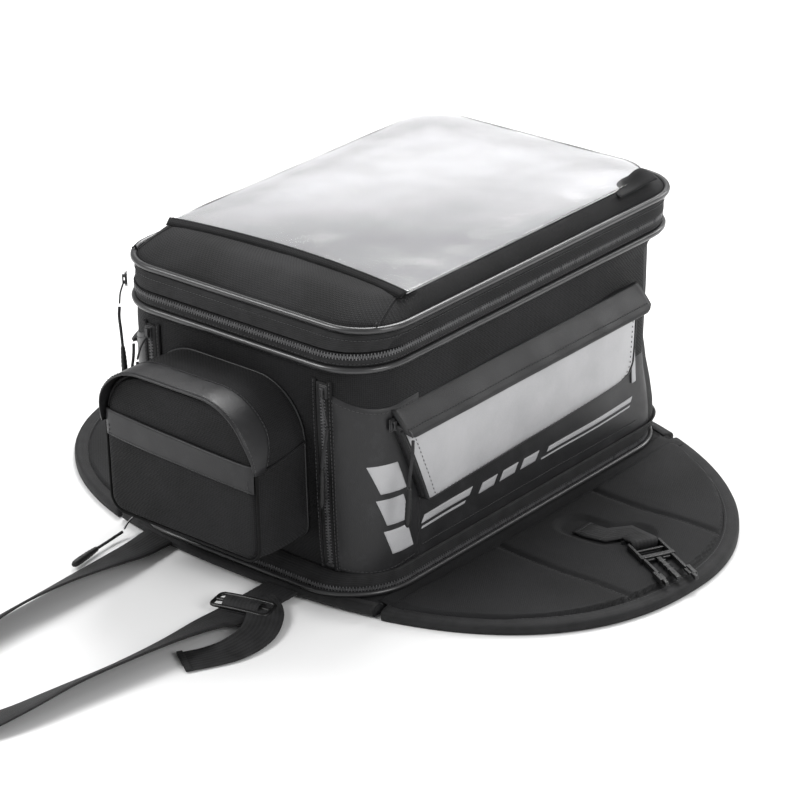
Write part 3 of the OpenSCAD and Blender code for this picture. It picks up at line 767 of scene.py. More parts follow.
def strip(name, points, outward, section, material, closed=False):
    rows = []
    for point, ahead, out in zip(points, directions(points, closed), outward):
        out = Vector(out)
        out = (out - ahead * out.dot(ahead)).normalized()
        side = ahead.cross(out)
        rows.append([Vector(point) + side * a + out * b for a, b in section])
    return skin(name, rows, material, around=True, through=closed, lengthwise=True)


def round_bar(radius, sides=10, flat=1.0):
    return [(radius * math.cos(2 * math.pi * k / sides), flat * radius * math.sin(2 * math.pi * k / sides))
            for k in range(sides)]


def flat_tape(width, thick, edge=0.35):
    half, cut = width / 2, thick * edge
    return [(-half + cut, 0), (-half / 2, 0), (0, 0), (half / 2, 0), (half - cut, 0), (half, thick / 2),
            (half - cut, thick), (half / 2, thick), (0, thick), (-half / 2, thick), (-half + cut, thick),
            (-half, thick / 2)]


def smooth_path(knots, per_span=6, closed=False):
    knots = [Vector(k) for k in knots]
    count, path = len(knots), []
    for i in range(count if closed else count - 1):
        a, b, c, d = (knots[(i + k) % count] if closed else knots[min(max(i + k, 0), count - 1)]
                      for k in (-1, 0, 1, 2))
        for step in range(per_span):
            t = step / per_span
            path.append(0.5 * ((2 * b) + (c - a) * t + (2 * a - 5 * b + 4 * c - d) * t * t
                               + (3 * b - a - 3 * c + d) * t ** 3))
    return path if closed else path + [knots[-1]]


def shares(count, rim=0.012):
    return ([0, rim * 0.25, rim] + [rim + (1 - 2 * rim) * k / count for k in range(1, count)]
            + [1 - rim, 1 - rim * 0.25, 1])


def patch(name, surface, material, across=40, along=20, thick=1.2 * MM, crown=0.0, rim=0.012,
          under=0.4 * MM):
    def lift(a, b):
        edge = min(1, min(a, 1 - a) / rim) * min(1, min(b, 1 - b) / rim)
        return thick * math.sqrt(max(edge, 0)) + crown * (max(0, 16 * a * (1 - a) * b * (1 - b)) ** 0.6)
    a_steps, b_steps = shares(across, rim), shares(along, rim)
    rows = [[surface(a, b, lift(a, b)) for a in a_steps]
            + [surface(a, b, -under) for a in reversed(a_steps)] for b in b_steps]
    return skin(name, rows, material, around=True, ends="strip")


print("helpers: skin, strip, patch")

# %% [markdown]
# Zip teeth and stitches repeat hundreds of times along a seam. Geometry Nodes is the right tool: a
# seam's path comes in as a chain of edges that know which way is out, the tree spaces points along
# it, and a small bar is set on each. Turned along the path the bars are stitches; turned across it
# and staggered left and right they are the two halves of a closed zip.

# %% Node tree: bars along a seam
def seam_tree():
    tree = bpy.data.node_groups.new("Bars along a seam", "GeometryNodeTree")
    tree.is_modifier = True
    plug = tree.interface.new_socket
    plug("Seam", in_out="INPUT", socket_type="NodeSocketGeometry")
    for label, kind, value in [("Pitch", "Float", 3 * MM), ("Bar length", "Float", 2 * MM),
                               ("Bar radius", "Float", 0.3 * MM), ("Sides", "Int", 6),
                               ("Across", "Float", 0.0), ("Stagger", "Float", 0.0),
                               ("Standing", "Float", 0.0), ("Lift", "Float", 0.0), ("Seed", "Int", 1),
                               ("Unevenness", "Float", 0.1)]:
        plug(label, in_out="INPUT", socket_type="NodeSocket" + kind).default_value = value
    plug("Finish", in_out="INPUT", socket_type="NodeSocketMaterial")
    plug("Bars", in_out="OUTPUT", socket_type="NodeSocketGeometry")
    nodes, links = tree.nodes, tree.links
    start, end = nodes.new("NodeGroupInput"), nodes.new("NodeGroupOutput")
    curve = nodes.new("GeometryNodeMeshToCurve")
    spaced = nodes.new("GeometryNodeResampleCurve")
    spaced.mode = "LENGTH"
    links.new(start.outputs["Seam"], curve.inputs["Mesh"])
    links.new(curve.outputs["Curve"], spaced.inputs["Curve"])
    links.new(start.outputs["Pitch"], spaced.inputs["Length"])

    ahead = nodes.new("GeometryNodeInputTangent")
    outward = nodes.new("GeometryNodeInputNamedAttribute")
    outward.data_type = "FLOAT_VECTOR"
    outward.inputs["Name"].default_value = "outward"
    sideways = nodes.new("ShaderNodeVectorMath")
    sideways.operation = "CROSS_PRODUCT"
    links.new(ahead.outputs["Tangent"], sideways.inputs[0])
    links.new(outward.outputs["Attribute"], sideways.inputs[1])
    keep_side = nodes.new("GeometryNodeStoreNamedAttribute")
    keep_side.data_type, keep_side.domain = "FLOAT_VECTOR", "POINT"
    keep_side.inputs["Name"].default_value = "sideways"
    links.new(spaced.outputs["Curve"], keep_side.inputs["Geometry"])
    links.new(sideways.outputs["Vector"], keep_side.inputs["Value"])
    bar_axis = nodes.new("ShaderNodeMix")
    bar_axis.data_type = "VECTOR"
    links.new(start.outputs["Across"], bar_axis.inputs["Factor"])
    links.new(ahead.outputs["Tangent"], bar_axis.inputs[4])
    links.new(sideways.outputs["Vector"], bar_axis.inputs[5])
    keep_axis = nodes.new("GeometryNodeStoreNamedAttribute")
    keep_axis.data_type, keep_axis.domain = "FLOAT_VECTOR", "POINT"
    keep_axis.inputs["Name"].default_value = "bar_axis"
    links.new(keep_side.outputs["Geometry"], keep_axis.inputs["Geometry"])
    upright = nodes.new("ShaderNodeMix")
    upright.data_type = "VECTOR"
    links.new(start.outputs["Standing"], upright.inputs["Factor"])
    links.new(bar_axis.outputs[1], upright.inputs[4])
    links.new(outward.outputs["Attribute"], upright.inputs[5])
    links.new(upright.outputs[1], keep_axis.inputs["Value"])

    number = nodes.new("GeometryNodeInputIndex")
    even = nodes.new("ShaderNodeMath")
    even.operation = "MODULO"
    even.inputs[1].default_value = 2
    sign = nodes.new("ShaderNodeMath")
    sign.operation = "MULTIPLY_ADD"
    sign.inputs[1].default_value, sign.inputs[2].default_value = 2, -1
    sway = nodes.new("ShaderNodeMath")
    sway.operation = "MULTIPLY"
    links.new(number.outputs["Index"], even.inputs[0])
    links.new(even.outputs["Value"], sign.inputs[0])
    links.new(sign.outputs["Value"], sway.inputs[0])
    links.new(start.outputs["Stagger"], sway.inputs[1])
    read_side = nodes.new("GeometryNodeInputNamedAttribute")
    read_side.data_type = "FLOAT_VECTOR"
    read_side.inputs["Name"].default_value = "sideways"
    side_step = nodes.new("ShaderNodeVectorMath")
    side_step.operation = "SCALE"
    links.new(read_side.outputs["Attribute"], side_step.inputs[0])
    links.new(sway.outputs["Value"], side_step.inputs["Scale"])
    rise = nodes.new("ShaderNodeVectorMath")
    rise.operation = "SCALE"
    links.new(outward.outputs["Attribute"], rise.inputs[0])
    links.new(start.outputs["Lift"], rise.inputs["Scale"])
    step = nodes.new("ShaderNodeVectorMath")
    step.operation = "ADD"
    links.new(side_step.outputs["Vector"], step.inputs[0])
    links.new(rise.outputs["Vector"], step.inputs[1])
    moved = nodes.new("GeometryNodeSetPosition")
    links.new(keep_axis.outputs["Geometry"], moved.inputs["Geometry"])
    links.new(step.outputs["Vector"], moved.inputs["Offset"])

    bar = nodes.new("GeometryNodeMeshCylinder")
    links.new(start.outputs["Sides"], bar.inputs["Vertices"])
    links.new(start.outputs["Bar radius"], bar.inputs["Radius"])
    links.new(start.outputs["Bar length"], bar.inputs["Depth"])
    read_axis = nodes.new("GeometryNodeInputNamedAttribute")
    read_axis.data_type = "FLOAT_VECTOR"
    read_axis.inputs["Name"].default_value = "bar_axis"
    aim = nodes.new("FunctionNodeAlignRotationToVector")
    aim.axis = "Z"
    links.new(read_axis.outputs["Attribute"], aim.inputs["Vector"])
    low = nodes.new("ShaderNodeMath")
    low.operation = "SUBTRACT"
    low.inputs[0].default_value = 1.0
    links.new(start.outputs["Unevenness"], low.inputs[1])
    size = nodes.new("FunctionNodeRandomValue")
    size.data_type = "FLOAT"
    size.inputs[3].default_value = 1.0
    links.new(low.outputs["Value"], size.inputs[2])
    links.new(start.outputs["Seed"], size.inputs["Seed"])
    repeat = nodes.new("GeometryNodeInstanceOnPoints")
    links.new(moved.outputs["Geometry"], repeat.inputs["Points"])
    links.new(bar.outputs["Mesh"], repeat.inputs["Instance"])
    links.new(aim.outputs["Rotation"], repeat.inputs["Rotation"])
    links.new(size.outputs[1], repeat.inputs["Scale"])
    real = nodes.new("GeometryNodeRealizeInstances")
    paint = nodes.new("GeometryNodeSetMaterial")
    links.new(repeat.outputs["Instances"], real.inputs["Geometry"])
    links.new(real.outputs["Geometry"], paint.inputs["Geometry"])
    links.new(start.outputs["Finish"], paint.inputs["Material"])
    links.new(paint.outputs["Geometry"], end.inputs["Bars"])
    for column, node in enumerate(nodes):
        node.location = (column % 9 * 200, -(column // 9) * 260)
    return tree


SEAM_TREE = seam_tree()


def evaluated(piece):
    return bpy.data.meshes.new_from_object(piece.evaluated_get(bpy.context.evaluated_depsgraph_get()))


def grown(name, tree, carrier, values):
    modifier = carrier.modifiers.new("grow", "NODES")
    modifier.node_group = tree
    for item in tree.interface.items_tree:
        if item.item_type == "SOCKET" and item.in_out == "INPUT" and item.name in values:
            modifier[item.identifier] = values[item.name]
    bpy.context.view_layer.update()
    mesh = evaluated(carrier)
    carrier.modifiers.remove(modifier)
    bpy.data.objects.remove(carrier)
    mesh.name = name
    piece = bpy.data.objects.new(name, mesh)
    bpy.context.scene.collection.objects.link(piece)
    return piece


def chain(points, outward, closed):
    mesh = bpy.data.meshes.new("seam")
    count = len(points)
    edges = [(i, (i + 1) % count) for i in range(count if closed else count - 1)]
    mesh.from_pydata([tuple(p) for p in points], edges, [])
    mesh.attributes.new("outward", "FLOAT_VECTOR", "POINT").data.foreach_set("vector",
            [n for o in outward for n in Vector(o).normalized()])
    carrier = bpy.data.objects.new("seam", mesh)
    bpy.context.scene.collection.objects.link(carrier)
    return carrier


def bars(name, seams, finish, pitch, length, radius, across=0.0, stagger=0.0, lift=0.0, sides=6, uneven=0.1,
         stands=0.0):
    parts = []
    for seed, (points, outward, closed) in enumerate(seams):
        parts.append(grown(f"{name}_{seed}", SEAM_TREE, chain(points, outward, closed),
                           {"Pitch": pitch, "Bar length": length, "Bar radius": radius, "Sides": sides,
                            "Across": across, "Standing": stands, "Stagger": stagger, "Lift": lift,
                            "Seed": seed + 1, "Unevenness": uneven, "Finish": finish}))
    joined = bmesh.new()
    for part in parts:
        joined.from_mesh(part.data)
    mesh = parts[0].data
    joined.to_mesh(mesh)
    joined.free()
    for part in parts[1:]:
        bpy.data.objects.remove(part)
    parts[0].name = mesh.name = name
    return parts[0]


def stitches(name, seams, finish=None, pitch=3.4 * MM, length=2.3 * MM, radius=0.34 * MM):
    return bars(name, seams, finish or THREAD, pitch, length, radius, lift=0.12 * MM)


def coil(name, seams):
    return bars(name, seams, COIL, 1.35 * MM, 3.4 * MM, 0.52 * MM, across=1.0, stagger=0.75 * MM,
                lift=0.25 * MM, uneven=0.04)


print("node tree:", SEAM_TREE.name, "with", len(SEAM_TREE.nodes), "nodes")

# %% [markdown]
# Piping is a cord wrapped in vinyl, sewn into a seam. Its path is a loop and its section a circle,
# so a second small tree turns the loop into a curve and sweeps a circle along it, with a slow
# random swell, because a wrapped cord is never quite even.

# %% Node tree: piping along a loop
def piping_tree():
    tree = bpy.data.node_groups.new("Piping along a loop", "GeometryNodeTree")
    tree.is_modifier = True
    plug = tree.interface.new_socket
    plug("Loop", in_out="INPUT", socket_type="NodeSocketGeometry")
    for label, kind, value in [("Radius", "Float", 2.4 * MM), ("Spacing", "Float", 5 * MM),
                               ("Swell", "Float", 0.1), ("Sides", "Int", 14)]:
        plug(label, in_out="INPUT", socket_type="NodeSocket" + kind).default_value = value
    plug("Finish", in_out="INPUT", socket_type="NodeSocketMaterial")
    plug("Piping", in_out="OUTPUT", socket_type="NodeSocketGeometry")
    nodes, links = tree.nodes, tree.links
    start, end = nodes.new("NodeGroupInput"), nodes.new("NodeGroupOutput")
    curve = nodes.new("GeometryNodeMeshToCurve")
    spaced = nodes.new("GeometryNodeResampleCurve")
    spaced.mode = "LENGTH"
    swell = nodes.new("ShaderNodeTexNoise")
    swell.inputs["Scale"].default_value = 18
    place = nodes.new("GeometryNodeInputPosition")
    amount = nodes.new("ShaderNodeMath")
    amount.operation = "MULTIPLY_ADD"
    amount.inputs[2].default_value = 0.95
    vary = nodes.new("GeometryNodeSetCurveRadius")
    circle = nodes.new("GeometryNodeCurvePrimitiveCircle")
    sweep = nodes.new("GeometryNodeCurveToMesh")
    sweep.inputs["Fill Caps"].default_value = True
    smooth = nodes.new("GeometryNodeSetShadeSmooth")
    real = nodes.new("GeometryNodeRealizeInstances")
    paint = nodes.new("GeometryNodeSetMaterial")
    links.new(start.outputs["Loop"], curve.inputs["Mesh"])
    links.new(curve.outputs["Curve"], spaced.inputs["Curve"])
    links.new(start.outputs["Spacing"], spaced.inputs["Length"])
    links.new(place.outputs["Position"], swell.inputs["Vector"])
    links.new(swell.outputs["Fac"], amount.inputs[0])
    links.new(start.outputs["Swell"], amount.inputs[1])
    links.new(spaced.outputs["Curve"], vary.inputs["Curve"])
    links.new(amount.outputs["Value"], vary.inputs["Radius"])
    links.new(start.outputs["Sides"], circle.inputs["Resolution"])
    links.new(start.outputs["Radius"], circle.inputs["Radius"])
    links.new(vary.outputs["Curve"], sweep.inputs["Curve"])
    links.new(circle.outputs["Curve"], sweep.inputs["Profile Curve"])
    if "Scale" in sweep.inputs:
        links.new(amount.outputs["Value"], sweep.inputs["Scale"])
    links.new(sweep.outputs["Mesh"], smooth.inputs["Geometry"])
    links.new(smooth.outputs["Geometry"], real.inputs["Geometry"])
    links.new(real.outputs["Geometry"], paint.inputs["Geometry"])
    links.new(start.outputs["Finish"], paint.inputs["Material"])
    links.new(paint.outputs["Geometry"], end.inputs["Piping"])
    for column, node in enumerate(nodes):
        node.location = (column % 6 * 200, -(column // 6) * 260)
    return tree


PIPING_TREE = piping_tree()


def piping(name, points, radius, finish, closed=True, spacing=5 * MM, swell=0.1, sides=14):
    raw = grown(name + "_raw", PIPING_TREE, chain(points, [UP] * len(points), closed),
                {"Radius": radius, "Spacing": spacing, "Swell": swell, "Sides": sides, "Finish": finish})
    mesh = raw.data
    bpy.data.objects.remove(raw)
    return close_up(name, mesh)


print("node tree:", PIPING_TREE.name, "with", len(PIPING_TREE.nodes), "nodes")

# %% [markdown]
# The bag's walls, its piping and its zips all follow rectangles with round corners. One function
# walks round such a loop at an even step and says, at each point, which way is out.

# %% Rectangles with round corners
def corner_centres(half_w, front, rear, radius):
    return [(half_w - radius, front + radius, -90), (half_w - radius, rear - radius, 0),
            (radius - half_w, rear - radius, 90), (radius - half_w, front + radius, 180)]


def round_loop(half_w, front, rear, radius, height, step=6 * MM):
    corners = corner_centres(half_w, front, rear, radius)
    points, outward = [], []
    for index, (cx, cy, turned) in enumerate(corners):
        bend = max(4, round(radius * math.pi / 2 / step))
        for k in range(bend + 1):
            angle = math.radians(turned + 90 * k / bend)
            points.append(Vector((cx + radius * math.cos(angle), cy + radius * math.sin(angle), height)))
            outward.append(Vector((math.cos(angle), math.sin(angle), 0)))
        nx, ny, turned = corners[(index + 1) % 4]
        angle = math.radians(turned)
        target = Vector((nx + radius * math.cos(angle), ny + radius * math.sin(angle), height))
        reach = (target - points[-1]).length
        run = max(1, round(reach / step))
        origin = points[-1].copy()
        for k in range(1, run):
            points.append(origin.lerp(target, k / run))
            outward.append(outward[-1].copy())
    return points, outward


print("helper: round_loop")

# %% [markdown]
# The harness is the base that stays on the tank: a stiffened pad in the middle and a wing on each
# side, cut to one long oval. Its edge is two half ovals, squarer at the front. The middle is a
# patch between the front and rear edges, with a sewn line 12 mm in from the border and the soft
# swell of thin foam between. Its hard board stays as the frame has it, with a board finish.

# %% Harness middle
OVAL_MID, OVAL_FRONT, OVAL_REAR, REACH = -0.010, 0.218, 0.226, 0.314
BASE_HALF, COVER_TOP, PAD_LOW = 0.1414, 0.009, 0.0021
EDGE_STITCH = 0.012


def oval_front(x):
    return OVAL_MID - OVAL_FRONT * max(0, 1 - (abs(x) / REACH) ** 2.4) ** (1 / 2.4)


def oval_rear(x):
    return OVAL_MID + OVAL_REAR * math.sqrt(max(0, 1 - (x / REACH) ** 2))


def base_surface(a, b, out):
    x = -BASE_HALF + 2 * BASE_HALF * a
    y = oval_front(x) + (oval_rear(x) - oval_front(x)) * b
    border = min(y - oval_front(x), oval_rear(x) - y)
    groove = 0.9 * MM * math.exp(-((border - EDGE_STITCH) / 0.0022) ** 2)
    swell = 0.4 * MM * noise.noise(Vector((x, y, 0)) * 22)
    return Vector((x, y, PAD_LOW + max(0, out - 0.3 * MM + (swell - groove if out > 5 * MM else 0))))


wear(patch("base_cover_cloth", base_surface, WING_CLOTH, across=70, along=110, thick=COVER_TOP - PAD_LOW,
           rim=0.014, under=0), "base", "black_weave", "base_cover")
edge_x = [BASE_HALF * (k / 40 - 1) * 0.985 for k in range(81)]
seams = []
for inset, edge in ((EDGE_STITCH, oval_front), (-EDGE_STITCH, oval_rear)):
    seams.append(([Vector((x, edge(x) + inset, COVER_TOP - 0.9 * MM)) for x in edge_x], [UP] * 81, False))
wear(stitches("base_edge_stitches", seams), "base", "black_weave")

for label, edge, sign in (("front", oval_front, 1), ("rear", oval_rear, -1)):
    path = [Vector((x, edge(x), 0.0052)) for x in edge_x]
    tape = strip(f"base_{label}_binding", path, [UP] * 81,
                 [(sign * a, b) for a, b in [(0.0, -3.0 * MM), (0.9 * MM, -1.5 * MM), (1.1 * MM, 1.5 * MM),
                                             (0.2 * MM, 3.6 * MM), (-5 * MM, 4.3 * MM),
                                             (-9.6 * MM, 4.3 * MM), (-9.8 * MM, 3.6 * MM),
                                             (-4 * MM, -3.0 * MM)]], BINDING)
    wear(tape, "base", "binding_tape")

# %% [markdown]
# The underside that touches the paint is a thin sheet of grippy rubber with rows of low studs. The
# sheet is a patch; the studs are flat six-sided bars from the seam tree, one row per chain.

# %% Non-slip underside
def grip_surface(a, b, out):
    x = -0.1408 + 0.2816 * a
    y = oval_front(x) + 0.0035 + (oval_rear(x) - oval_front(x) - 0.007) * b
    return Vector((x, y, 1.95 * MM - out))


wear(patch("grip_sheet", grip_surface, ANTI_SLIP, across=30, along=40, thick=1.3 * MM, under=0), "base",
     "anti_slip", "grip_pad")
stud_rows = []
for k in range(17):
    x = (k - 8) * 0.0162
    ys = [oval_front(x) + 0.014 + j * 0.009
          for j in range(int((oval_rear(x) - oval_front(x) - 0.028) / 0.009))]
    stud_rows.append(([Vector((x + 0.004 * (j % 2), y, 0.45 * MM)) for j, y in enumerate(ys)],
                      [UP] * len(ys), False))
studs = bars("grip_studs", stud_rows, ANTI_SLIP, 10 * MM, 0.8 * MM, 2.6 * MM, stands=1.0)
for vertex in studs.data.vertices:
    vertex.co.z = max(vertex.co.z, 0.02 * MM)
wear(studs, "base", "anti_slip")

# %% [markdown]
# A closed piping cord runs on the harness just outside the zip, and the harness's half of that zip
# stands up inside it as a narrow tape with the coil along its top edge.

# %% Harness piping and zip
loop, outward = round_loop(0.137, -0.223, 0.203, 0.060, 11.3 * MM)
wear(piping("base_piping_cord", loop, 2.2 * MM, PIPING), "base", "piping_vinyl", "base_piping")
loop, outward = round_loop(0.1327, -0.2182, 0.1982, 0.0542, 11.95 * MM)
wear(strip("base_zip_band", loop, outward, flat_tape(5.7 * MM, 1.8 * MM), ZIP_TAPE, closed=True), "base",
     "zip_tape", "base_zip_tape")
loop, outward = round_loop(0.1343, -0.2198, 0.1998, 0.0558, 14.7 * MM)
wear(coil("base_zip_coil", [(loop, outward, True)]), "base", "zip_tape")

# %% [markdown]
# A wing is two layers of cloth sewn round a thin foam, with magnets inside, and two lines of
# stitching across it make soft channels. Fabric over foam can be simulated: a flat pad is remeshed,
# blown up a little by cloth pressure, and its points are held within 4 mm of where they began. The
# sewn channels come after it, pressed into the top. The left wing is the right one turned over.

# %% Wing outline and pad
CHANNELS = (0.058, -0.071)
WING_ROOT, PAD_FOLD, STITCH_FROM = 0.147, 0.1425, 0.158
PAD_LAYER = (2.4 * MM, 7.2 * MM)


def wing_edge(inset, steps=72):
    rear, front = math.acos(WING_ROOT / REACH), -math.acos((WING_ROOT / REACH) ** 1.2)
    points = []
    for k in range(steps + 1):
        a = rear + (front - rear) * k / steps
        power, reach_y = (1.0, OVAL_REAR) if a > 0 else (2 / 2.4, OVAL_FRONT)
        c, s = math.cos(a) ** power, math.copysign(abs(math.sin(a)) ** power, a)
        points.append(Vector(((REACH - inset) * c, OVAL_MID + (reach_y - inset) * s, 0)))
    return points


def wing_pad():
    arc = wing_edge(0.0035)
    fold = [Vector((PAD_FOLD, arc[-1].y + (arc[0].y - arc[-1].y) * k / 40, 0)) for k in range(1, 40)]
    rim = [Vector((max(p.x, PAD_FOLD), p.y, 0)) for p in arc] + fold
    centre = Vector((0.205, -0.012, 0))
    low, high = PAD_LAYER
    rings = [[centre.lerp(p, s) + Vector((0, 0, z)) for p in rim]
             for s, z in [(0.02, low), (0.5, low), (0.985, low), (1.0, low + 1.4 * MM),
                          (1.0, high - 1.4 * MM), (0.985, high), (0.5, high), (0.02, high)]]
    return skin("right_wing_pad", rings, WING_CLOTH)


def even_quads(piece, voxel):
    remesh = piece.modifiers.new("even quads", "REMESH")
    remesh.mode, remesh.voxel_size = "VOXEL", voxel
    bpy.context.view_layer.update()
    piece.data = evaluated(piece)
    piece.modifiers.clear()


def inflate(piece, pressure, cap, frames=20):
    rest = np.array([v.co for v in piece.data.vertices])
    cloth = piece.modifiers.new("air", "CLOTH")
    cloth.settings.quality = 5
    cloth.settings.use_pressure = True
    cloth.settings.uniform_pressure_force = pressure
    cloth.settings.effector_weights.gravity = 0
    cloth.point_cache.frame_start, cloth.point_cache.frame_end = 1, frames
    for frame_number in range(1, frames + 1):
        bpy.context.scene.frame_set(frame_number)
    blown = evaluated(piece)
    moved = np.array([v.co for v in blown.vertices]) - rest
    length = np.linalg.norm(moved, axis=1, keepdims=True)
    held = rest + moved * np.minimum(1, cap / np.maximum(length, 1e-9))
    piece.modifiers.clear()
    blown.vertices.foreach_set("co", held.astype(np.float32).ravel())
    blown.update()
    piece.data = blown
    bpy.context.scene.frame_set(1)
    print(f"{piece.name}: cloth moved up to {length.max() / MM:.1f} mm, kept to {cap / MM:.0f} mm,",
          len(rest), "points")


def finer(piece):
    split = piece.modifiers.new("one split", "SUBSURF")
    split.levels = split.render_levels = 1
    bpy.context.view_layer.update()
    mesh = evaluated(piece)
    piece.modifiers.clear()
    piece.data = mesh


def lay_flat_uv(piece):
    mesh = piece.data
    layer = mesh.uv_layers.get("weave") or mesh.uv_layers.new(name="weave")
    where = np.array([v.co for v in mesh.vertices])
    corners = np.zeros(len(mesh.loops), np.int32)
    mesh.loops.foreach_get("vertex_index", corners)
    layer.data.foreach_set("uv", where[corners][:, :2].astype(np.float32).ravel())


def paint_all(piece, material):
    piece.data.materials.clear()
    piece.data.materials.append(material)
    piece.data.polygons.foreach_set("material_index", [0] * len(piece.data.polygons))
    piece.data.polygons.foreach_set("use_smooth", [True] * len(piece.data.polygons))


right_pad = wing_pad()
even_quads(right_pad, 3.2 * MM)
inflate(right_pad, pressure=4.0, cap=4 * MM)
finer(right_pad)

# %% [markdown]
# The blown pad gets its sewn channels now: each point of the top is pushed down near a channel and
# left puffed between them, with a slow noise for slack. The cloth stays above the magnets and below
# the binding, and lies flat where the buckle's webbing is sewn on. The left pad is a mirrored copy.

# %% Sewn channels, and both wings
EDGE = wing_edge(0.0)
edge_x, edge_y = np.array([p.x for p in EDGE]), np.array([p.y for p in EDGE])
MAGNET_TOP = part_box("right_wing_magnets")[1][2]


def wing_reach(y):
    return float(np.interp(y, edge_y[::-1], edge_x[::-1]))


TAB_LINE = [Vector((184, -3)) * MM, Vector((211, -2)) * MM, Vector((229, 13)) * MM]


def from_tab(x, y):
    gaps = []
    for a, b in zip(TAB_LINE, TAB_LINE[1:]):
        along = clamp((Vector((x, y)) - a).dot(b - a) / (b - a).length_squared)
        gaps.append((Vector((x, y)) - a.lerp(b, along)).length)
    return min(gaps)


def press_channels(piece):
    for vertex in piece.data.vertices:
        x, y, z = vertex.co
        if z > 4.5 * MM:
            reach = wing_reach(y) - x
            inland = clamp(reach / 0.05) * clamp((x - 0.146) / 0.03)
            puff = 1.7 * MM * (1 - math.exp(-(min(abs(y - c) for c in CHANNELS) / 0.022) ** 2)) * inland
            line = sum(2.4 * MM * math.exp(-((y - c + 0.006 * wander(x * 12, c * 9, 0)) / 0.0032) ** 2)
                       for c in CHANNELS)
            slack = 1.3 * MM * wander(x * 11, y * 9, 1.7) + 0.5 * MM * wander(x * 34, y * 26, 4.1)
            z = z + (puff + slack - line) * clamp((x - 0.144) / 0.012)
            if reach < 0.017:
                z = min(z, 7.4 * MM)
            z = min(z, 8.7 * MM + 0.4 * max(0, from_tab(x, y) - 14 * MM))
            z = max(z, MAGNET_TOP + 0.6 * MM)
        vertex.co.z = min(max(z, PAD_LOW), 11.5 * MM)


def turned_over(piece, name):
    mesh = piece.data.copy()
    mesh.transform(Matrix.Diagonal((-1, 1, 1, 1)))
    return close_up(name, mesh)


press_channels(right_pad)
paint_all(right_pad, WING_CLOTH)
left_pad = turned_over(right_pad, "left_wing_pad")
for side, pad in (("right", right_pad), ("left", left_pad)):
    lay_flat_uv(pad)
    wear(pad, side + "_wing", "black_weave", side + "_wing")

# %% [markdown]
# The wing's edge is bound: a ribbed tape 13 mm wide is folded over it and sewn down, which shows as
# a band with a line of stitches along its inner edge. Its section is drawn once, flat on top and
# rounded outside, and carried round the oval.

# %% Wing binding, stitches and underside
TAPE_SECTION = [(0.4, 0.3), (0.6, 2.5), (0.5, 6.0), (-0.6, 8.1), (-3, 8.5), (-8, 8.5), (-12.2, 8.3),
                (-12.8, 7.6), (-12.4, 6.8), (-4, 5.0), (-3.2, 0.5)]


def wing_point(side, p, z):
    return Vector((side * p.x, p.y, z))


for side_name, side in SIDES:
    path = [wing_point(side, p, 0) for p in wing_edge(0.0, 110)]
    tape = strip(side_name + "_wing_tape", path, [UP] * len(path),
                 [(-side * a * MM, b * MM) for a, b in TAPE_SECTION], BINDING)
    wear(tape, side_name + "_wing", "binding_tape", side_name + "_wing_binding")
    inner = [wing_point(side, p, 8.35 * MM) for p in wing_edge(0.0108, 110)]
    inner = [p for p in inner if abs(p.x) > STITCH_FROM]
    rows = [(inner, [UP] * len(inner), False)]
    for channel in CHANNELS:
        limit = wing_reach(channel) - 0.014
        xs = [STITCH_FROM + (limit - STITCH_FROM) * k / 60 for k in range(61)]
        line = [Vector((side * x, channel - 0.006 * wander(x * 12, channel * 9, 0), 0)) for x in xs]
        rows.append((line, [UP] * 61, False))
    cloth_top = surface_tree(right_pad if side > 0 else left_pad)
    for row in rows[1:]:
        for point in row[0]:
            hit = cloth_top.ray_cast(Vector((point.x, point.y, 0.05)), Vector((0, 0, -1)))[0]
            point.z = hit.z if hit else 7 * MM
    wear(stitches(side_name + "_wing_stitches", rows), side_name + "_wing", "binding_tape")

    def under_surface(a, b, out, side=side):
        y = -0.196 + 0.372 * b
        far = wing_reach(y) - 0.005
        return Vector((side * (0.1503 + (max(far, 0.152) - 0.1503) * a), y, 1.95 * MM - out))
    wear(patch(side_name + "_wing_grip", under_surface, ANTI_SLIP, across=24, along=40, thick=1.5 * MM,
               under=0), side_name + "_wing", "anti_slip", side_name + "_wing_underside")

# %% [markdown]
# Where a wing folds, the top cloth runs on without a break from the middle of the harness. A thin
# strip bridges the fold, with a slight crease where the wing turns; it is left attached to neither body.

# %% Fold strips
FOLD_FRONT, FOLD_LONG, FOLD_FROM, FOLD_WIDE, FOLD_THICK = -0.2005, 0.3815, 0.1345, 0.025, 0.9 * MM


def fold_height(x, y, k):
    crease = 0.5 * MM * math.exp(-((x - 0.1435) / 0.004) ** 2)
    return 9.3 * MM - 0.5 * MM * k / 14 - crease + 0.2 * MM * wander(x * 30, y * 22, 2)


for side_name, side in SIDES:
    rows = []
    for y in [FOLD_FRONT + FOLD_LONG * k / 60 for k in range(61)]:
        xs = [FOLD_FROM + FOLD_WIDE * k / 14 for k in range(15)]
        row = [Vector((side * x, y, fold_height(x, y, k))) for k, x in enumerate(xs)]
        rows.append(row + [p - Vector((0, 0, FOLD_THICK)) for p in reversed(row)])
    bridge = skin(side_name + "_fold_cloth", rows, WING_CLOTH, ends="strip")
    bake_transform(bridge)
    print(bridge.name, "bends across the fold")

# %% [markdown]
# The headstock strap is one length of 34 mm webbing: it leaves the front edge of the harness, rolls
# onto its edge as it runs forward, turns round and comes back. Webbing bends easily only one way,
# so its path carries a tilt as well as a place. It is too thin to remesh, so it is modelled
# directly, with its two edges rounded.

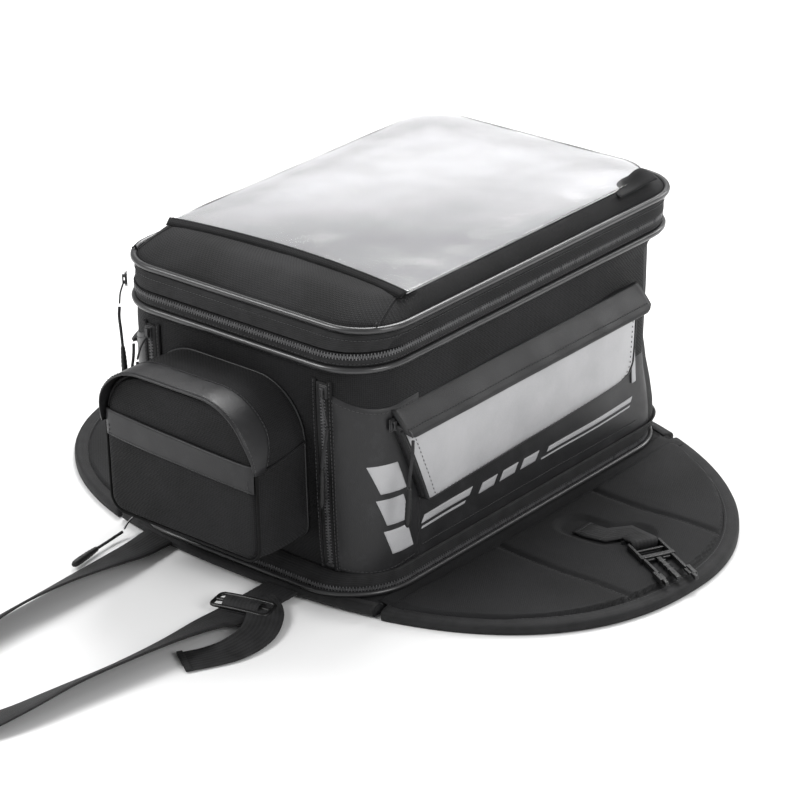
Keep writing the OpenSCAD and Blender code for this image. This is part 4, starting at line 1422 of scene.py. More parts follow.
# %% Headstock strap and its tail
WEB_W, WEB_T = 0.034, 0.002
STRAP = [(-88, -213, 4.6, 0), (-87.5, -224, 4.2, 0), (-86, -243, 2.9, 4), (-85, -262, 2.4, 8),
         (-85, -300, 1.5, 20), (-85, -350, 0.6, 32), (-84, -400, 0.4, 36), (-80, -450, 0.4, 30),
         (-70, -500, 0.4, 20), (-48, -540, 0.4, 8), (-15, -552, 0.4, 0), (14, -538, 0.4, -8),
         (28, -500, 0.4, -20), (36, -450, 0.4, -30), (44, -400, 0.4, -32), (49, -350, 1, -26),
         (51, -310, 2.4, -12), (52, -285, 2.4, 0), (52, -255, 2.4, 0), (54, -224, 4.2, 0),
         (54, -213, 4.6, 0)]


def webbing_strip(name, knots, width, thick):
    outward = []
    path = smooth_path([Vector((x, y, z)) for x, y, z, tilt in knots], 7)
    tilts = [k.x for k in smooth_path([Vector((tilt, 0, 0)) for x, y, z, tilt in knots], 7)]
    for i, (point, ahead, tilt) in enumerate(zip(path, directions(path, False), tilts)):
        t = math.radians(tilt)
        flat = Vector((-ahead.y, ahead.x, 0)).normalized()
        rise = Vector((0, 0, math.cos(t))) - math.sin(t) * flat
        outward.append(rise)
        path[i] = Vector((point.x, point.y, point.z + width / MM / 2 * abs(math.sin(t)))) * MM
    return path, strip(name, path, outward, flat_tape(width, thick), WEBBING)


wear(webbing_strip("headstock_webbing", STRAP, WEB_W, WEB_T)[1], "base", "webbing", "headstock_strap")
TAIL = [(55, -259, 7.2, 0), (64, -261.5, 6.4, 0), (77, -273, 4.4, -5), (89, -296, 2.2, -8),
        (89, -322, 1.0, -5), (79, -344, 0.6, 0), (69, -361, 0.5, 0)]
tail_path, tail_piece = webbing_strip("strap_tail_webbing", TAIL, 0.0305, 1.6 * MM)
wear(tail_piece, "strap_adjuster", "webbing", "strap_tail")
hem = [tail_path[-1] + (tail_path[-1] - tail_path[-2]).normalized() * 0.2 * MM * k for k in range(-24, 3)]
wear(strip("strap_tail_hem", hem[::6], [UP] * len(hem[::6]),
           [(a, b + 1.3 * MM) for a, b in flat_tape(0.031, 1.5 * MM)], WEBBING), "strap_adjuster",
     "webbing")

# %% [markdown]
# The adjuster is a three-bar slide of glossy black plastic. Its outer frame is a rounded loop with a
# middle bar, bowed up a little where the webbing passes over. Both are round bars swept along a
# path.

# %% Strap adjuster
SLIDE = Matrix.Translation(Vector((51, -270, 7.0)) * MM) @ Matrix.Rotation(math.radians(14), 4, "Z")
frame_loop, _ = round_loop(0.0252, -0.0102, 0.0102, 0.0045, 0, step=1.6 * MM)
frame_path = [SLIDE @ (p + Vector((0, 0, 0.9 * MM * (1 - (p.x / 0.0252) ** 2)))) for p in frame_loop]
outer_bar = strip("slide_frame", frame_path, [UP] * len(frame_path), round_bar(1.75 * MM, 12, 0.85),
                  PLASTIC, closed=True)
wear(outer_bar, "strap_adjuster", "buckle_plastic", "strap_adjuster")
bar_path = [SLIDE @ Vector((x * MM, 0, (1.3 * (1 - (x / 25) ** 2)) * MM)) for x in range(-25, 26, 2)]
wear(strip("slide_bar", bar_path, [UP] * len(bar_path), round_bar(1.9 * MM, 12, 0.8), PLASTIC),
     "strap_adjuster", "buckle_plastic")
over = [SLIDE @ Vector((0, y * MM, z * MM)) for y, z in [(-11, -2.6), (-8, -1.4), (-4, 2.2), (0, 3.4),
                                                         (4, 2.2), (8, -1.2), (11, -2.6)]]
over = smooth_path(over, 5)
wear(strip("slide_webbing_turn", over, [UP] * len(over), flat_tape(0.0325, 1.5 * MM), WEBBING),
     "strap_adjuster", "webbing")

# %% [markdown]
# On each wing a folded piece of webbing is sewn down with a box of stitches, and its loop holds the
# male half of a side-release buckle. The buckle is moulded plastic: a ladder frame, a centre guide
# and two sprung arms with hooked tips. It is made of small blocks with rounded edges, placed in the
# buckle's own frame and then turned into line with the strap.

# %% Buckles and their webbing
PIVOT, PLUG_TURN = Vector((249, 0, 14)) * MM, math.radians(-28)


def plug_place(side):
    place = Matrix.Translation(PIVOT) @ Matrix.Rotation(PLUG_TURN, 4, "Z")
    return place if side > 0 else Matrix.Diagonal((-1, 1, 1, 1)) @ place


def blocks(name, boxes, place, material, round_by=0.7 * MM):
    shape = bmesh.new()
    for low, high in boxes:
        made = bmesh.ops.create_cube(shape, size=1.0)["verts"]
        for vertex in made:
            vertex.co = Vector([(low[k] + high[k]) / 2 + vertex.co[k] * (high[k] - low[k])
                                for k in range(3)]) * MM
        edges = list({e for v in made for e in v.link_edges})
        smallest = min(high[k] - low[k] for k in range(3)) * MM
        bmesh.ops.bevel(shape, geom=edges, offset=min(round_by, smallest * 0.4), segments=3, profile=0.6,
                        affect="EDGES")
    bmesh.ops.transform(shape, matrix=place, verts=shape.verts)
    mesh = bpy.data.meshes.new(name)
    shape.to_mesh(mesh)
    shape.free()
    mesh.materials.append(material)
    mesh.uv_layers.new(name="weave")
    piece = close_up(name, mesh)
    paint_all(piece, material)
    piece.data.polygons.foreach_set("use_smooth", [False] * len(piece.data.polygons))
    return piece


PLUG_BOXES = [((-1.9, -13.5, -1.9), (1.9, 13.5, 1.9)), ((0, -15, -2.4), (26, -12.2, 2.4)),
              ((0, 12.2, -2.4), (26, 15, 2.4)), ((22.6, -15.5, -2.6), (28.2, 15.5, 2.6)),
              ((11, -13, -1.4), (13.4, 13, 1.0)), ((27.5, -2.2, -1.5), (66, 2.2, 1.5)),
              ((34, -3.0, -1.8), (36, 3.0, 1.8)), ((42, -3.0, -1.8), (44, 3.0, 1.8)),
              ((50, -3.0, -1.8), (52, 3.0, 1.8))]
ARM_BOXES = [(27.5, 53, 11.2, 14.0, 1.9), (51, 66, 12.8, 16.8, 2.3), (64, 71.5, 11.6, 14.8, 1.9),
             (54, 64, 10.0, 13.6, 1.2), (28, 30, 3.5, 10.5, 1.0)]
for sign in (-1, 1):
    for x0, x1, y0, y1, z in ARM_BOXES:
        near, far = sorted((sign * y0, sign * y1))
        PLUG_BOXES.append(((x0, near, -z), (x1, far, z)))
for side_name, side in SIDES:
    plug = blocks(side_name + "_plug_moulding", PLUG_BOXES, plug_place(side), PLASTIC)
    wear(plug, side_name + "_buckle", "buckle_plastic", side_name + "_buckle_plug")
    along = Matrix.Rotation(PLUG_TURN, 4, "Z") @ Vector((1, 0, 0))
    lay = [(Vector((187, -3, 9.4)) * MM, UP), (Vector((199, -3.5, 9.5)) * MM, UP),
           (Vector((212, -2, 9.8)) * MM, UP),
           (PIVOT - along * 0.028 + Vector((0, 0.001, -4.0 * MM)), UP),
           (PIVOT - along * 0.017 + Vector((0, 0, -1.6 * MM)), (-0.2, 0.1, 1))]
    for k in range(9):
        angle = math.radians(115 - 29 * k)
        ray = along * math.cos(angle) + Vector((0, 0, math.sin(angle)))
        lay.append((PIVOT + ray * 2.7 * MM, ray))
    lay += [(PIVOT - along * 0.014 + Vector((0, 0, -4.4 * MM)), (0, 0, -1)),
            (PIVOT - along * 0.030 + Vector((0, 0.001, -5.4 * MM)), (0, 0, -1))]
    points = [Vector((side * p.x, p.y, p.z)) for p, n in lay]
    normals = [Vector((side * Vector(n).x, Vector(n).y, Vector(n).z)) for p, n in lay]
    tab = strip(side_name + "_buckle_webbing", points, normals, flat_tape(0.0235, 1.5 * MM), WEBBING)
    wear(tab, side_name + "_wing", "webbing", side_name + "_buckle_strap")
    box = [(190, -13), (190, 7), (214, 8), (214, -12)]
    ring = smooth_path([Vector((side * x * MM, y * MM, 11.0 * MM)) for x, y in box], 1, True)
    dense = [ring[i % 4].lerp(ring[(i + 1) % 4], k / 8) for i in range(4) for k in range(8)]
    cross = [ring[0].lerp(ring[2], k / 10) for k in range(11)]
    wear(stitches(side_name + "_box_stitches", [(dense, [UP] * 32, True), (cross, [UP] * 11, False)],
                  pitch=2.6 * MM, length=1.9 * MM), side_name + "_wing", "webbing")

# %% [markdown]
# The bag's wall is one loft: a rectangle with round corners, tucked in a little at the floor,
# bellied where it is stuffed and drawn in at the back, with slow folds that come from noise. Every
# later piece on the wall, such as a panel, a zip or a seam, asks the same function where the wall
# is, so they all follow its folds. A place on the wall is a number that runs once round the bag, a
# height, and a distance out.

# %% The wall as a function
WALL_HALF, WALL_FRONT, WALL_REAR, WALL_R = 0.135, -0.212, 0.207, 0.046
CORNER_X, CORNER_FRONT, CORNER_REAR = WALL_HALF - WALL_R, WALL_FRONT + WALL_R, WALL_REAR - WALL_R
WALL_CORNERS = corner_centres(WALL_HALF, WALL_FRONT, WALL_REAR, WALL_R)
TUCK_Z = [0.0153, 0.024, 0.045, 0.09, 0.14, 0.19, 0.2078, 0.222]
TUCK = [-4.2 * MM, -3.4 * MM, -2.0 * MM, -0.6 * MM, -0.1 * MM, 0.3 * MM, 0.0, 0.0]


def wall_plan(u):
    u %= 8
    part, f = int(u), u - int(u)
    if part % 2:
        cx, cy, turned = WALL_CORNERS[part // 2]
        angle = math.radians(turned + 90 * f)
        out = Vector((math.cos(angle), math.sin(angle), 0))
        return Vector((cx, cy, 0)) + out * WALL_R, out
    across, along = CORNER_X * (2 * f - 1), CORNER_FRONT + (CORNER_REAR - CORNER_FRONT) * f
    return [(Vector((across, WALL_FRONT, 0)), Vector((0, -1, 0))),
            (Vector((WALL_HALF, along, 0)), Vector((1, 0, 0))),
            (Vector((-across, WALL_REAR, 0)), Vector((0, 1, 0))),
            (Vector((-WALL_HALF, CORNER_REAR + CORNER_FRONT - along, 0)), Vector((-1, 0, 0)))][part // 2]


PINCH_Z = [0.015, 0.040, 0.060, 0.080, 0.100, 0.120, 0.150, 0.190, 0.2035, 0.2078]
PINCH = [0.0, -2.5 * MM, -6.5 * MM, -11.5 * MM, -14.5 * MM, -13.5 * MM, -12 * MM, -11 * MM, -3 * MM, 0.0]


def rear_pinch(u, z):
    near = clamp((u % 8 - 2.72) / 0.5) * clamp((5.28 - u % 8) / 0.5)
    return near * near * (3 - 2 * near) * float(np.interp(z, PINCH_Z, PINCH))


def wall(u, z, out=0.0):
    place, normal = wall_plan(u)
    belly = math.sin(math.pi * clamp((z - 0.02) / 0.19))
    x, y = place.x, place.y
    fold = 1.0 * MM * wander(x * 9, y * 9, z * 13) + 0.55 * MM * wander(x * 26, y * 26, z * 12 + 3)
    near_seam = math.exp(-((z - 0.2) / 0.014) ** 2) + math.exp(-((z - 0.026) / 0.012) ** 2)
    pucker = 0.5 * MM * near_seam * wander(x * 75, y * 75, 8)
    off = float(np.interp(z, TUCK_Z, TUCK)) + 1.2 * MM * belly + rear_pinch(u, z)
    return place + normal * (off + (fold + pucker) * min(1, belly * 2 + 0.25) + out) + Vector((0, 0, z))


def wall_out(u):
    return wall_plan(u)[1]


def at_x(x):
    if abs(x) <= CORNER_X:
        return (x + CORNER_X) / (2 * CORNER_X)
    return 1 + math.asin(min(1, (x - CORNER_X) / WALL_R)) / (math.pi / 2)


def at_y(y):
    if y >= CORNER_FRONT:
        return 2 + (y - CORNER_FRONT) / (CORNER_REAR - CORNER_FRONT)
    return 1 + math.acos(min(1, (CORNER_FRONT - y) / WALL_R)) / (math.pi / 2)


def on(side, u):
    return u if side > 0 else (1 - u) % 8


AROUND = []
for part in range(8):
    steps = 9 if part % 2 else (30 if part % 4 == 0 else 46)
    AROUND += [part + k / steps for k in range(steps)]
print("wall:", len(AROUND), "columns round the bag")

# %% [markdown]
# Now the wall itself. Its section goes up the outside, over the rim, and down the inside, so the
# cloth has a real thickness. Below the side pockets and round the front corners the real bag is
# smooth vinyl; the faces below the side pockets take a second material slot, and the corners get
# panels of their own later.

# %% Bag wall and lining
def wall_rows(z_low, z_high, outer, inner, steps):
    zs = [z_low + (z_high - z_low) * k / steps for k in range(steps + 1)]
    rows = [[wall(u, z, outer) for u in AROUND] for z in zs]
    rows += [[wall(u, z, inner) for u in AROUND] for z in reversed(zs[::3])]
    return rows, zs


rows, heights = wall_rows(18.3 * MM, 221.5 * MM, 0.0, -2.0 * MM, 66)


def wall_finish(i, j):
    z = heights[i] if i < len(heights) else 0.2
    u = AROUND[j]
    low_side = 1.95 < u < 3.1 or 4.9 < u < 6.05
    return 1 if low_side and z < 0.094 else 0


shell = skin("bag_wall", rows, [BODY_CLOTH, VINYL], through=True, material_of=wall_finish)
wear(shell, "bag", "black_weave", "bag_shell")
rows, _ = wall_rows(18.6 * MM, 214 * MM, -2.6 * MM, -6.0 * MM, 40)
lining = skin("bag_lining", rows, LINING_CLOTH, through=True)
wear(lining, "bag", "lining", "foam_lining")


def floor_surface(inset, z, sign):
    def surface(a, b, out):
        half_w, front, rear, radius = WALL_HALF - inset, WALL_FRONT + inset, WALL_REAR - inset, WALL_R - inset
        x, y = (2 * a - 1), (2 * b - 1)
        p = Vector((x * half_w, (front + rear) / 2 + y * (rear - front) / 2, 0))
        cx = min(max(p.x, radius - half_w), half_w - radius)
        cy = min(max(p.y, front + radius), rear - radius)
        away = Vector((p.x - cx, p.y - cy, 0))
        if away.length > 1e-6:
            longest = max(abs(away.x), abs(away.y))
            p = Vector((cx, cy, 0)) + away * (longest / away.length)
        return Vector((p.x, p.y, z + sign * out))
    return surface


wear(patch("bag_underside", floor_surface(4.6 * MM, 18.0 * MM, -1), BODY_CLOTH, across=40, along=60,
           thick=2.5 * MM, rim=0.02, under=0.2 * MM), "bag", "black_weave", "bag_floor")
wear(patch("floor_lining", floor_surface(10 * MM, 20.4 * MM, 1), LINING_CLOTH, across=40, along=60,
           thick=0.9 * MM, crown=0.8 * MM, rim=0.02, under=0.1 * MM), "bag", "lining")

# %% [markdown]
# The bag's half of the base zip is a ribbed tape that flares out from the wall to meet the tape on
# the harness. It is a loft between two loops: one on the wall, one on the zip line.

# %% Skirt above the base zip
skirt_low, skirt_out = round_loop(0.1345, -0.2198, 0.1998, 0.0558, 15.35 * MM, step=4 * MM)


def nearest_on_wall(p, z, out):
    cx, cy = min(max(p.x, -CORNER_X), CORNER_X), min(max(p.y, CORNER_FRONT), CORNER_REAR)
    normal = Vector((p.x - cx, p.y - cy, 0)).normalized()
    tuck = float(np.interp(z, TUCK_Z, TUCK))
    return Vector((cx, cy, z)) + normal * (WALL_R + tuck + out)


levels = [(0.0, 0), (0.15, 0.2), (0.45, 0.45), (0.8, 0.75), (1.0, 1.0)]
skirt_rows = []
for share, climb in levels:
    row = []
    for p in skirt_low:
        top = nearest_on_wall(p, 27 * MM, 1.6 * MM)
        row.append(Vector((p.x + (top.x - p.x) * share ** 1.4, p.y + (top.y - p.y) * share ** 1.4,
                           15.35 * MM + 11.6 * MM * climb)))
    skirt_rows.append(row)
for row in list(reversed(skirt_rows)):
    skirt_rows.append([p - o * 1.2 * MM for p, o in zip(row, skirt_out)])
wear(skin("base_zip_skirt", skirt_rows, ZIP_TAPE, through=True), "bag", "zip_tape")

# %% [markdown]
# Piping on the bag runs just under the lid's zip, a vinyl cord sewn into the seam. The two halves
# of the zip tape meet at the zip line, and the coil is shared between them: it stays with the bag
# when the lid lifts.

# %% Bag piping and zip
def body_ring(out, z):
    return [wall(u, z, out) for u in AROUND], [wall_out(u) for u in AROUND]


points, outward = body_ring(2.4 * MM, 207.8 * MM)
wear(piping("body_piping_cord", points, 2.9 * MM, PIPING, swell=0.04), "bag", "piping_vinyl", "body_piping")
points, outward = body_ring(0.3 * MM, 216.0 * MM)
wear(strip("body_zip_band", points, outward, flat_tape(10.8 * MM, 1.6 * MM), ZIP_TAPE, closed=True), "bag",
     "zip_tape", "body_zip_tape")
points, outward = body_ring(2.1 * MM, 219.2 * MM)
wear(coil("lid_zip_coil", [(points, outward, True)]), "bag", "zip_tape")
points, outward = body_ring(2.0 * MM, 212.8 * MM)
wear(stitches("body_zip_stitches", [(points, outward, True)]), "bag", "zip_tape")

# %% [markdown]
# Smooth vinyl panels wrap the front corners, from the corner zip to the side pocket. Each carries a
# plain reflective mark of three slanted blocks, in place of any printed sign, and its edges are
# stitched. The panel's outline is a square sheet bent by two numbers, one round the bag and one up
# it, so its lower edge can swell down in the middle as the real one does.

# %% Corner panels with their marks
def corner_place(side):
    def surface(a, b, out):
        u = at_x(97.5 * MM) + (at_y(-0.148) - at_x(97.5 * MM)) * a
        bottom = 0.028 - 0.004 * math.sin(math.pi * a)
        top = 0.186 - 0.012 * a - 0.006 * math.sin(math.pi * a)
        return wall(on(side, u), bottom + (top - bottom) * b, out)
    return surface


def mark_place(side, y0, y1, z0, z1, lean):
    def surface(a, b, out):
        z = z0 + (z1 - z0) * b
        y = y0 + (y1 - y0) * a - lean * (z - z0)
        return wall(on(side, at_y(y)), z, 1.2 * MM + out)
    return surface


for side_name, side in SIDES:
    panel = patch(side_name + "_corner_vinyl", corner_place(side), VINYL, across=26, along=40,
                  thick=1.1 * MM, crown=0.8 * MM, rim=0.02)
    wear(panel, "bag", "smooth_vinyl", side_name + "_corner_panel")
    for part, (z0, z1, shift) in enumerate([(0.098, 0.124, 0), (0.069, 0.0935, 0.0045),
                                            (0.042, 0.0645, 0.009)]):
        place = mark_place(side, -0.1895 + shift, -0.1665 + shift, z0, z1, 0.33)
        mark = patch(f"{side_name}_mark_{part}", place, REFLECTIVE, across=8, along=12, thick=1.0 * MM,
                     rim=0.03, under=0.1 * MM)
        wear(mark, "bag", "reflective")
    u0, u1 = at_x(100.5 * MM), at_y(-0.1505)
    low_edge = [corner_place(side)(k / 40, 0.028, 1.25 * MM) for k in range(1, 40)]
    high_edge = [corner_place(side)(k / 40, 0.972, 1.25 * MM) for k in range(1, 40)]
    near_edge = [corner_place(side)(0.06, k / 40, 1.3 * MM) for k in range(1, 40)]
    out_low = [wall_out(on(side, u0 + (u1 - u0) * k / 40)) for k in range(1, 40)]
    wear(stitches(side_name + "_corner_stitches", [(low_edge, out_low, False), (high_edge, out_low, False),
                                                   (near_edge, [wall_out(on(side, u0))] * 39, False)]),
         "bag", "smooth_vinyl")

# %% [markdown]
# A short zip stands upright at each side of the front face. Its tape is sewn flat to the wall, with
# a vinyl welt on either side, and the coil runs up the middle.

# %% Upright corner zips
def upright(side, x, z0, z1, out, count=60):
    u = on(side, at_x(x))
    return [wall(u, z0 + (z1 - z0) * k / count, out) for k in range(count + 1)], [wall_out(u)] * (count + 1)


CORNER_ZIP, WELTS = 93.5 * MM, (84.8 * MM, 99.6 * MM)
for side_name, side in SIDES:
    points, outward = upright(side, CORNER_ZIP, 0.030, 0.194, 0.1 * MM)
    wear(strip(side_name + "_corner_zip_band", points, outward, flat_tape(13 * MM, 1.0 * MM), ZIP_TAPE),
         "bag", "zip_tape")
    points, outward = upright(side, CORNER_ZIP, 0.034, 0.1885, 1.0 * MM)
    wear(coil(side_name + "_corner_zip_coil", [(points, outward, False)]), "bag", "zip_tape")
    for label, x in zip(("inner", "outer"), WELTS):
        points, outward = upright(side, x, 0.028, 0.196, 0.2 * MM)
        wear(strip(f"{side_name}_corner_welt_{label}", points, outward, flat_tape(4.6 * MM, 1.7 * MM),
                   BODY_CLOTH), "bag", "black_weave")
    seams = [upright(side, x, 0.030, 0.194, 1.9 * MM) + (False,) for x in WELTS]
    wear(stitches(side_name + "_corner_zip_stitches", seams), "bag", "zip_tape")
    stop = blocks(side_name + "_corner_zip_stop", [((-3.4, -1.2, -1.1), (3.4, 1.2, 1.1))],
                  Matrix.Translation(wall(on(side, at_x(CORNER_ZIP)), 0.0325, 1.6 * MM)), ZIP_METAL,
                  0.5 * MM)
    wear(stop, "bag", "zip_metal")

# %% [markdown]
# Each side pocket is a shallow bellows: a pale reflective face with a slanted front edge, a dark
# gusset round it, a rolled top edge, and a zip across the mouth under the rain flap. The face is a
# loft of its own outline, drawn in smaller and smaller copies towards the middle, so that it can
# swell there.

# %% Side pockets
ZIP_X, ZIP_Z, ZIP_FRONT, ZIP_LONG = 0.1396, 157.5 * MM, -178, 304
POCKET_EDGE = [(-181, 158), (-150, 82.5), (112, 90.5), (124, 93.5), (130.5, 101), (134, 158)]


def pocket_outline(step=5.0):
    points = []
    for (y0, z0), (y1, z1) in zip(POCKET_EDGE, POCKET_EDGE[1:] + POCKET_EDGE[:1]):
        run = max(2, round(math.hypot(y1 - y0, z1 - z0) / step))
        points += [(y0 + (y1 - y0) * k / run, z0 + (z1 - z0) * k / run) for k in range(run)]
    return points


def shrunk(points, share, centre=(-15, 121)):
    return [(centre[0] + (y - centre[0]) * share, centre[1] + (z - centre[1]) * share) for y, z in points]


def pocket_x(y, z, depth):
    near = wall(at_y(y * MM), z * MM, 0).x
    lean = 1.5 * max(0, (z - 84) / 74) - 1.5
    return near + (depth + lean * (depth / 15)) * MM


for side_name, side in SIDES:
    outline = pocket_outline()
    rows = []
    for share, depth in [(1.0, -1.0), (1.004, 3), (1.006, 6), (1.0, 8.5), (0.994, 10.3), (0.985, 11.2),
                         (0.97, 11.8), (0.93, 12.6), (0.86, 13.4), (0.75, 14.0), (0.6, 14.3), (0.4, 14.6),
                         (0.2, 14.7), (0.04, 14.7)]:
        row = []
        for y, z in shrunk(outline, share):
            slack = 0.7 * wander(y * 0.02, z * 0.03, side * 2.0) if depth > 11 else 0
            row.append(Vector((side * (pocket_x(y, z, depth + slack)), y * MM, z * MM)))
        rows.append(row)
    rows.insert(0, [Vector((side * pocket_x(y, z, -1.0), y * MM, z * MM)) for y, z in shrunk(outline, 0.1)])
    body = skin(side_name + "_pocket_bellows", rows, [VINYL, REFLECTIVE],
                material_of=lambda i, j: int(i >= 6))
    wear(body, "bag", "reflective", side_name + "_side_pocket")
    lower = [Vector((side * pocket_x(y, z, 12.75), y * MM, z * MM)) for y, z in shrunk(outline, 0.945)
             if z < 150]
    wear(stitches(side_name + "_pocket_stitches", [(lower, [(side, 0, 0)] * len(lower), False)],
                  PALE_THREAD, pitch=4.6 * MM, length=1.7 * MM, radius=0.42 * MM), "bag", "reflective")
    edge = [Vector((side * pocket_x(y, z, 10.6), y * MM, z * MM)) for y, z in shrunk(outline, 1.0)
            if z < 156]
    wear(piping(side_name + "_pocket_edge", edge, 1.15 * MM, VINYL, closed=False, sides=8), "bag",
         "smooth_vinyl")
    mouth = [Vector((side * ZIP_X, (ZIP_FRONT + ZIP_LONG * k / 80) * MM, ZIP_Z)) for k in range(81)]
    wear(strip(side_name + "_pocket_zip_band", mouth, [(side * 0.75, 0, 0.66)] * 81,
               flat_tape(11.5 * MM, 1.0 * MM), ZIP_TAPE), "bag", "zip_tape")
    lifted = [p + Vector((side * 1.0 * MM, 0, 0.6 * MM)) for p in mouth[1:-1]]
    wear(coil(side_name + "_pocket_zip_coil", [(lifted, [(side * 0.75, 0, 0.66)] * 79, False)]), "bag",
         "zip_tape")

# %% [markdown]
# Below each pocket two reflective stripes, one broad and one thin, run back along the vinyl. Three
# plain slanted dashes fill their middle, and a narrow upright mark closes the pocket's rear end.

# %% Side stripes
def band_place(side, y0, y1, z0, z1, rise, lean=0.6):
    def surface(a, b, out):
        z_here = z0 + (z1 - z0) * b
        y = y0 + (y1 - y0) * a + lean * (z_here - z0)
        z = z_here + rise * (y - y0)
        return wall(on(side, at_y(y)), z, 0.15 * MM + out)
    return surface


for side_name, side in SIDES:
    for label, y0, y1, z0, z1 in [("broad_front", -0.146, -0.084, 0.0560, 0.0625),
                                  ("thin_front", -0.146, -0.090, 0.0510, 0.0530),
                                  ("broad_rear", 0.020, 0.140, 0.0555, 0.0598),
                                  ("thin_rear", 0.012, 0.138, 0.0512, 0.0526),
                                  ("dash_0", -0.072, -0.052, 0.0530, 0.0612),
                                  ("dash_1", -0.044, -0.024, 0.0530, 0.0612),
                                  ("dash_2", -0.016, 0.004, 0.0530, 0.0612)]:
        stripe = patch(f"{side_name}_stripe_{label}", band_place(side, y0, y1, z0, z1, 0.012), REFLECTIVE,
                       across=12, along=4, thick=0.45 * MM, rim=0.02, under=0.3 * MM)
        wear(stripe, "bag", "reflective")
    band = patch(side_name + "_rear_mark", mark_place(side, 0.1415, 0.1475, 0.074, 0.158, 0.0), REFLECTIVE,
                 across=6, along=16, thick=0.3 * MM, rim=0.04, under=1.3 * MM)
    wear(band, "bag", "reflective")
    low = [wall(on(side, at_y(-0.143 + 0.29 * k / 100)), 0.036, 0.15 * MM) for k in range(101)]
    wear(stitches(side_name + "_panel_stitches", [(low, [(side, 0, 0)] * 101, False)]), "bag",
         "smooth_vinyl")

# %% [markdown]
# The rain flaps hang over the pocket zips. Each is a long hem of vinyl, hinged at its sewn top edge
# and standing out from the bag; the vinyl is left attached to no body, and the frame's own flap is
# hidden. Stitches run along the fold and go with the flap.

# %% Rain flaps
FLAP_Y0, FLAP_Y1, FLAP_TOP, FLAP_DROP, FLAP_ROOT = -0.1800, 0.1420, 0.1705, 0.0215, 0.136
for side_name, side in SIDES:
    count = 90
    section = [(0.1345, 0.1705), (0.1372, 0.1686), (0.1408, 0.1654), (0.1450, 0.1611), (0.1490, 0.1565),
               (0.1525, 0.1518), (0.1540, 0.1496), (0.1536, 0.1485), (0.1520, 0.1488), (0.1502, 0.1508),
               (0.1462, 0.1556), (0.1425, 0.1598), (0.1385, 0.1638), (0.1355, 0.1664), (0.1336, 0.1683)]
    rows = []
    for k in range(count + 1):
        y = FLAP_Y0 + (FLAP_Y1 - FLAP_Y0) * k / count
        trim = 0.86 + 0.14 * min(1, min(k, count - k) / 2.2) ** 0.5
        sway = 0.9 * MM * wander(y * 14, side, 3) + 0.4 * MM * wander(y * 45, side, 9)
        row = []
        for x, z in section:
            hang = (FLAP_TOP - z) / FLAP_DROP
            narrowed = FLAP_ROOT + (x - FLAP_ROOT) * (trim if z < 0.164 else 1)
            row.append(Vector((side * (narrowed + sway * hang), y,
                               z + 0.5 * sway * hang + (1 - trim) * 0.03 * hang)))
        rows.append(row)
    flap = skin(side_name + "_rain_flap_vinyl", rows, VINYL, ends="fan")
    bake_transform(flap)
    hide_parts(side_name + "_rain_flap")
    print(flap.name, len(flap.data.polygons), "faces, bends from the bag to the flap")
    hem = []
    for k in range(count + 1):
        y = FLAP_Y0 + 0.004 + (FLAP_Y1 - FLAP_Y0 - 0.008) * k / count
        hem.append(Vector((side * 0.1504 + side * 0.9 * MM * wander(y * 14, side, 3) * 0.8, y, 0.1558)))
    wear(stitches(side_name + "_flap_hem_stitches", [(hem, [(side * 0.83, 0, 0.56)] * (count + 1), False)]),
         side_name + "_rain_flap", "smooth_vinyl")

# %% [markdown]
# The front pocket is a box with an arched top, sewn to the wall behind it. Its sides are one loft
# round the arch that bellies outwards, its face is a second loft that shrinks towards its middle,
# and a hood of smooth vinyl bends over the mouth. The face is cut at the mouth: below it belongs to
# the bag, above it is the flap that turns down.

# %% Front pocket outline
POCKET_X, POCKET_HALF, POCKET_FACE = -0.009, 0.082, -0.272
POCKET_LOW, MOUTH, POCKET_HIGH, POCKET_TALL = 0.051, 0.131, 0.184, 0.133


def arch(inset=0.0, steps=12):
    half, low, high = POCKET_HALF - inset, POCKET_LOW + inset, POCKET_HIGH - inset
    big, small = 0.048 - inset, max(0.004, 0.014 - inset)
    knots = []
    for cx, cz, r, turned in [(half - small, low + small, small, -90), (half - big, high - big, big, 0),
                              (big - half, high - big, big, 90), (small - half, low + small, small, 180)]:
        knots += [(POCKET_X + cx + r * math.cos(math.radians(turned + 90 * k / steps)),
                   cz + r * math.sin(math.radians(turned + 90 * k / steps))) for k in range(steps + 1)]
    loop = []
    for (x0, z0), (x1, z1) in zip(knots, knots[1:] + knots[:1]):
        run = max(1, round(math.hypot(x1 - x0, z1 - z0) / 0.005))
        loop += [Vector((x0 + (x1 - x0) * k / run, 0, z0 + (z1 - z0) * k / run)) for k in range(run)]
    return loop


def arch_out(loop):
    return [Vector((b.z - a.z, 0, a.x - b.x)).normalized()
            for a, b in zip([loop[-1]] + loop[:-1], loop[1:] + loop[:1])]


def pocket_wrinkle(p, y):
    return 1.0 * MM * wander(p.x * 20, y * 28, p.z * 20) + 0.5 * MM * wander(p.x * 50, y * 50, p.z * 50 + 4)


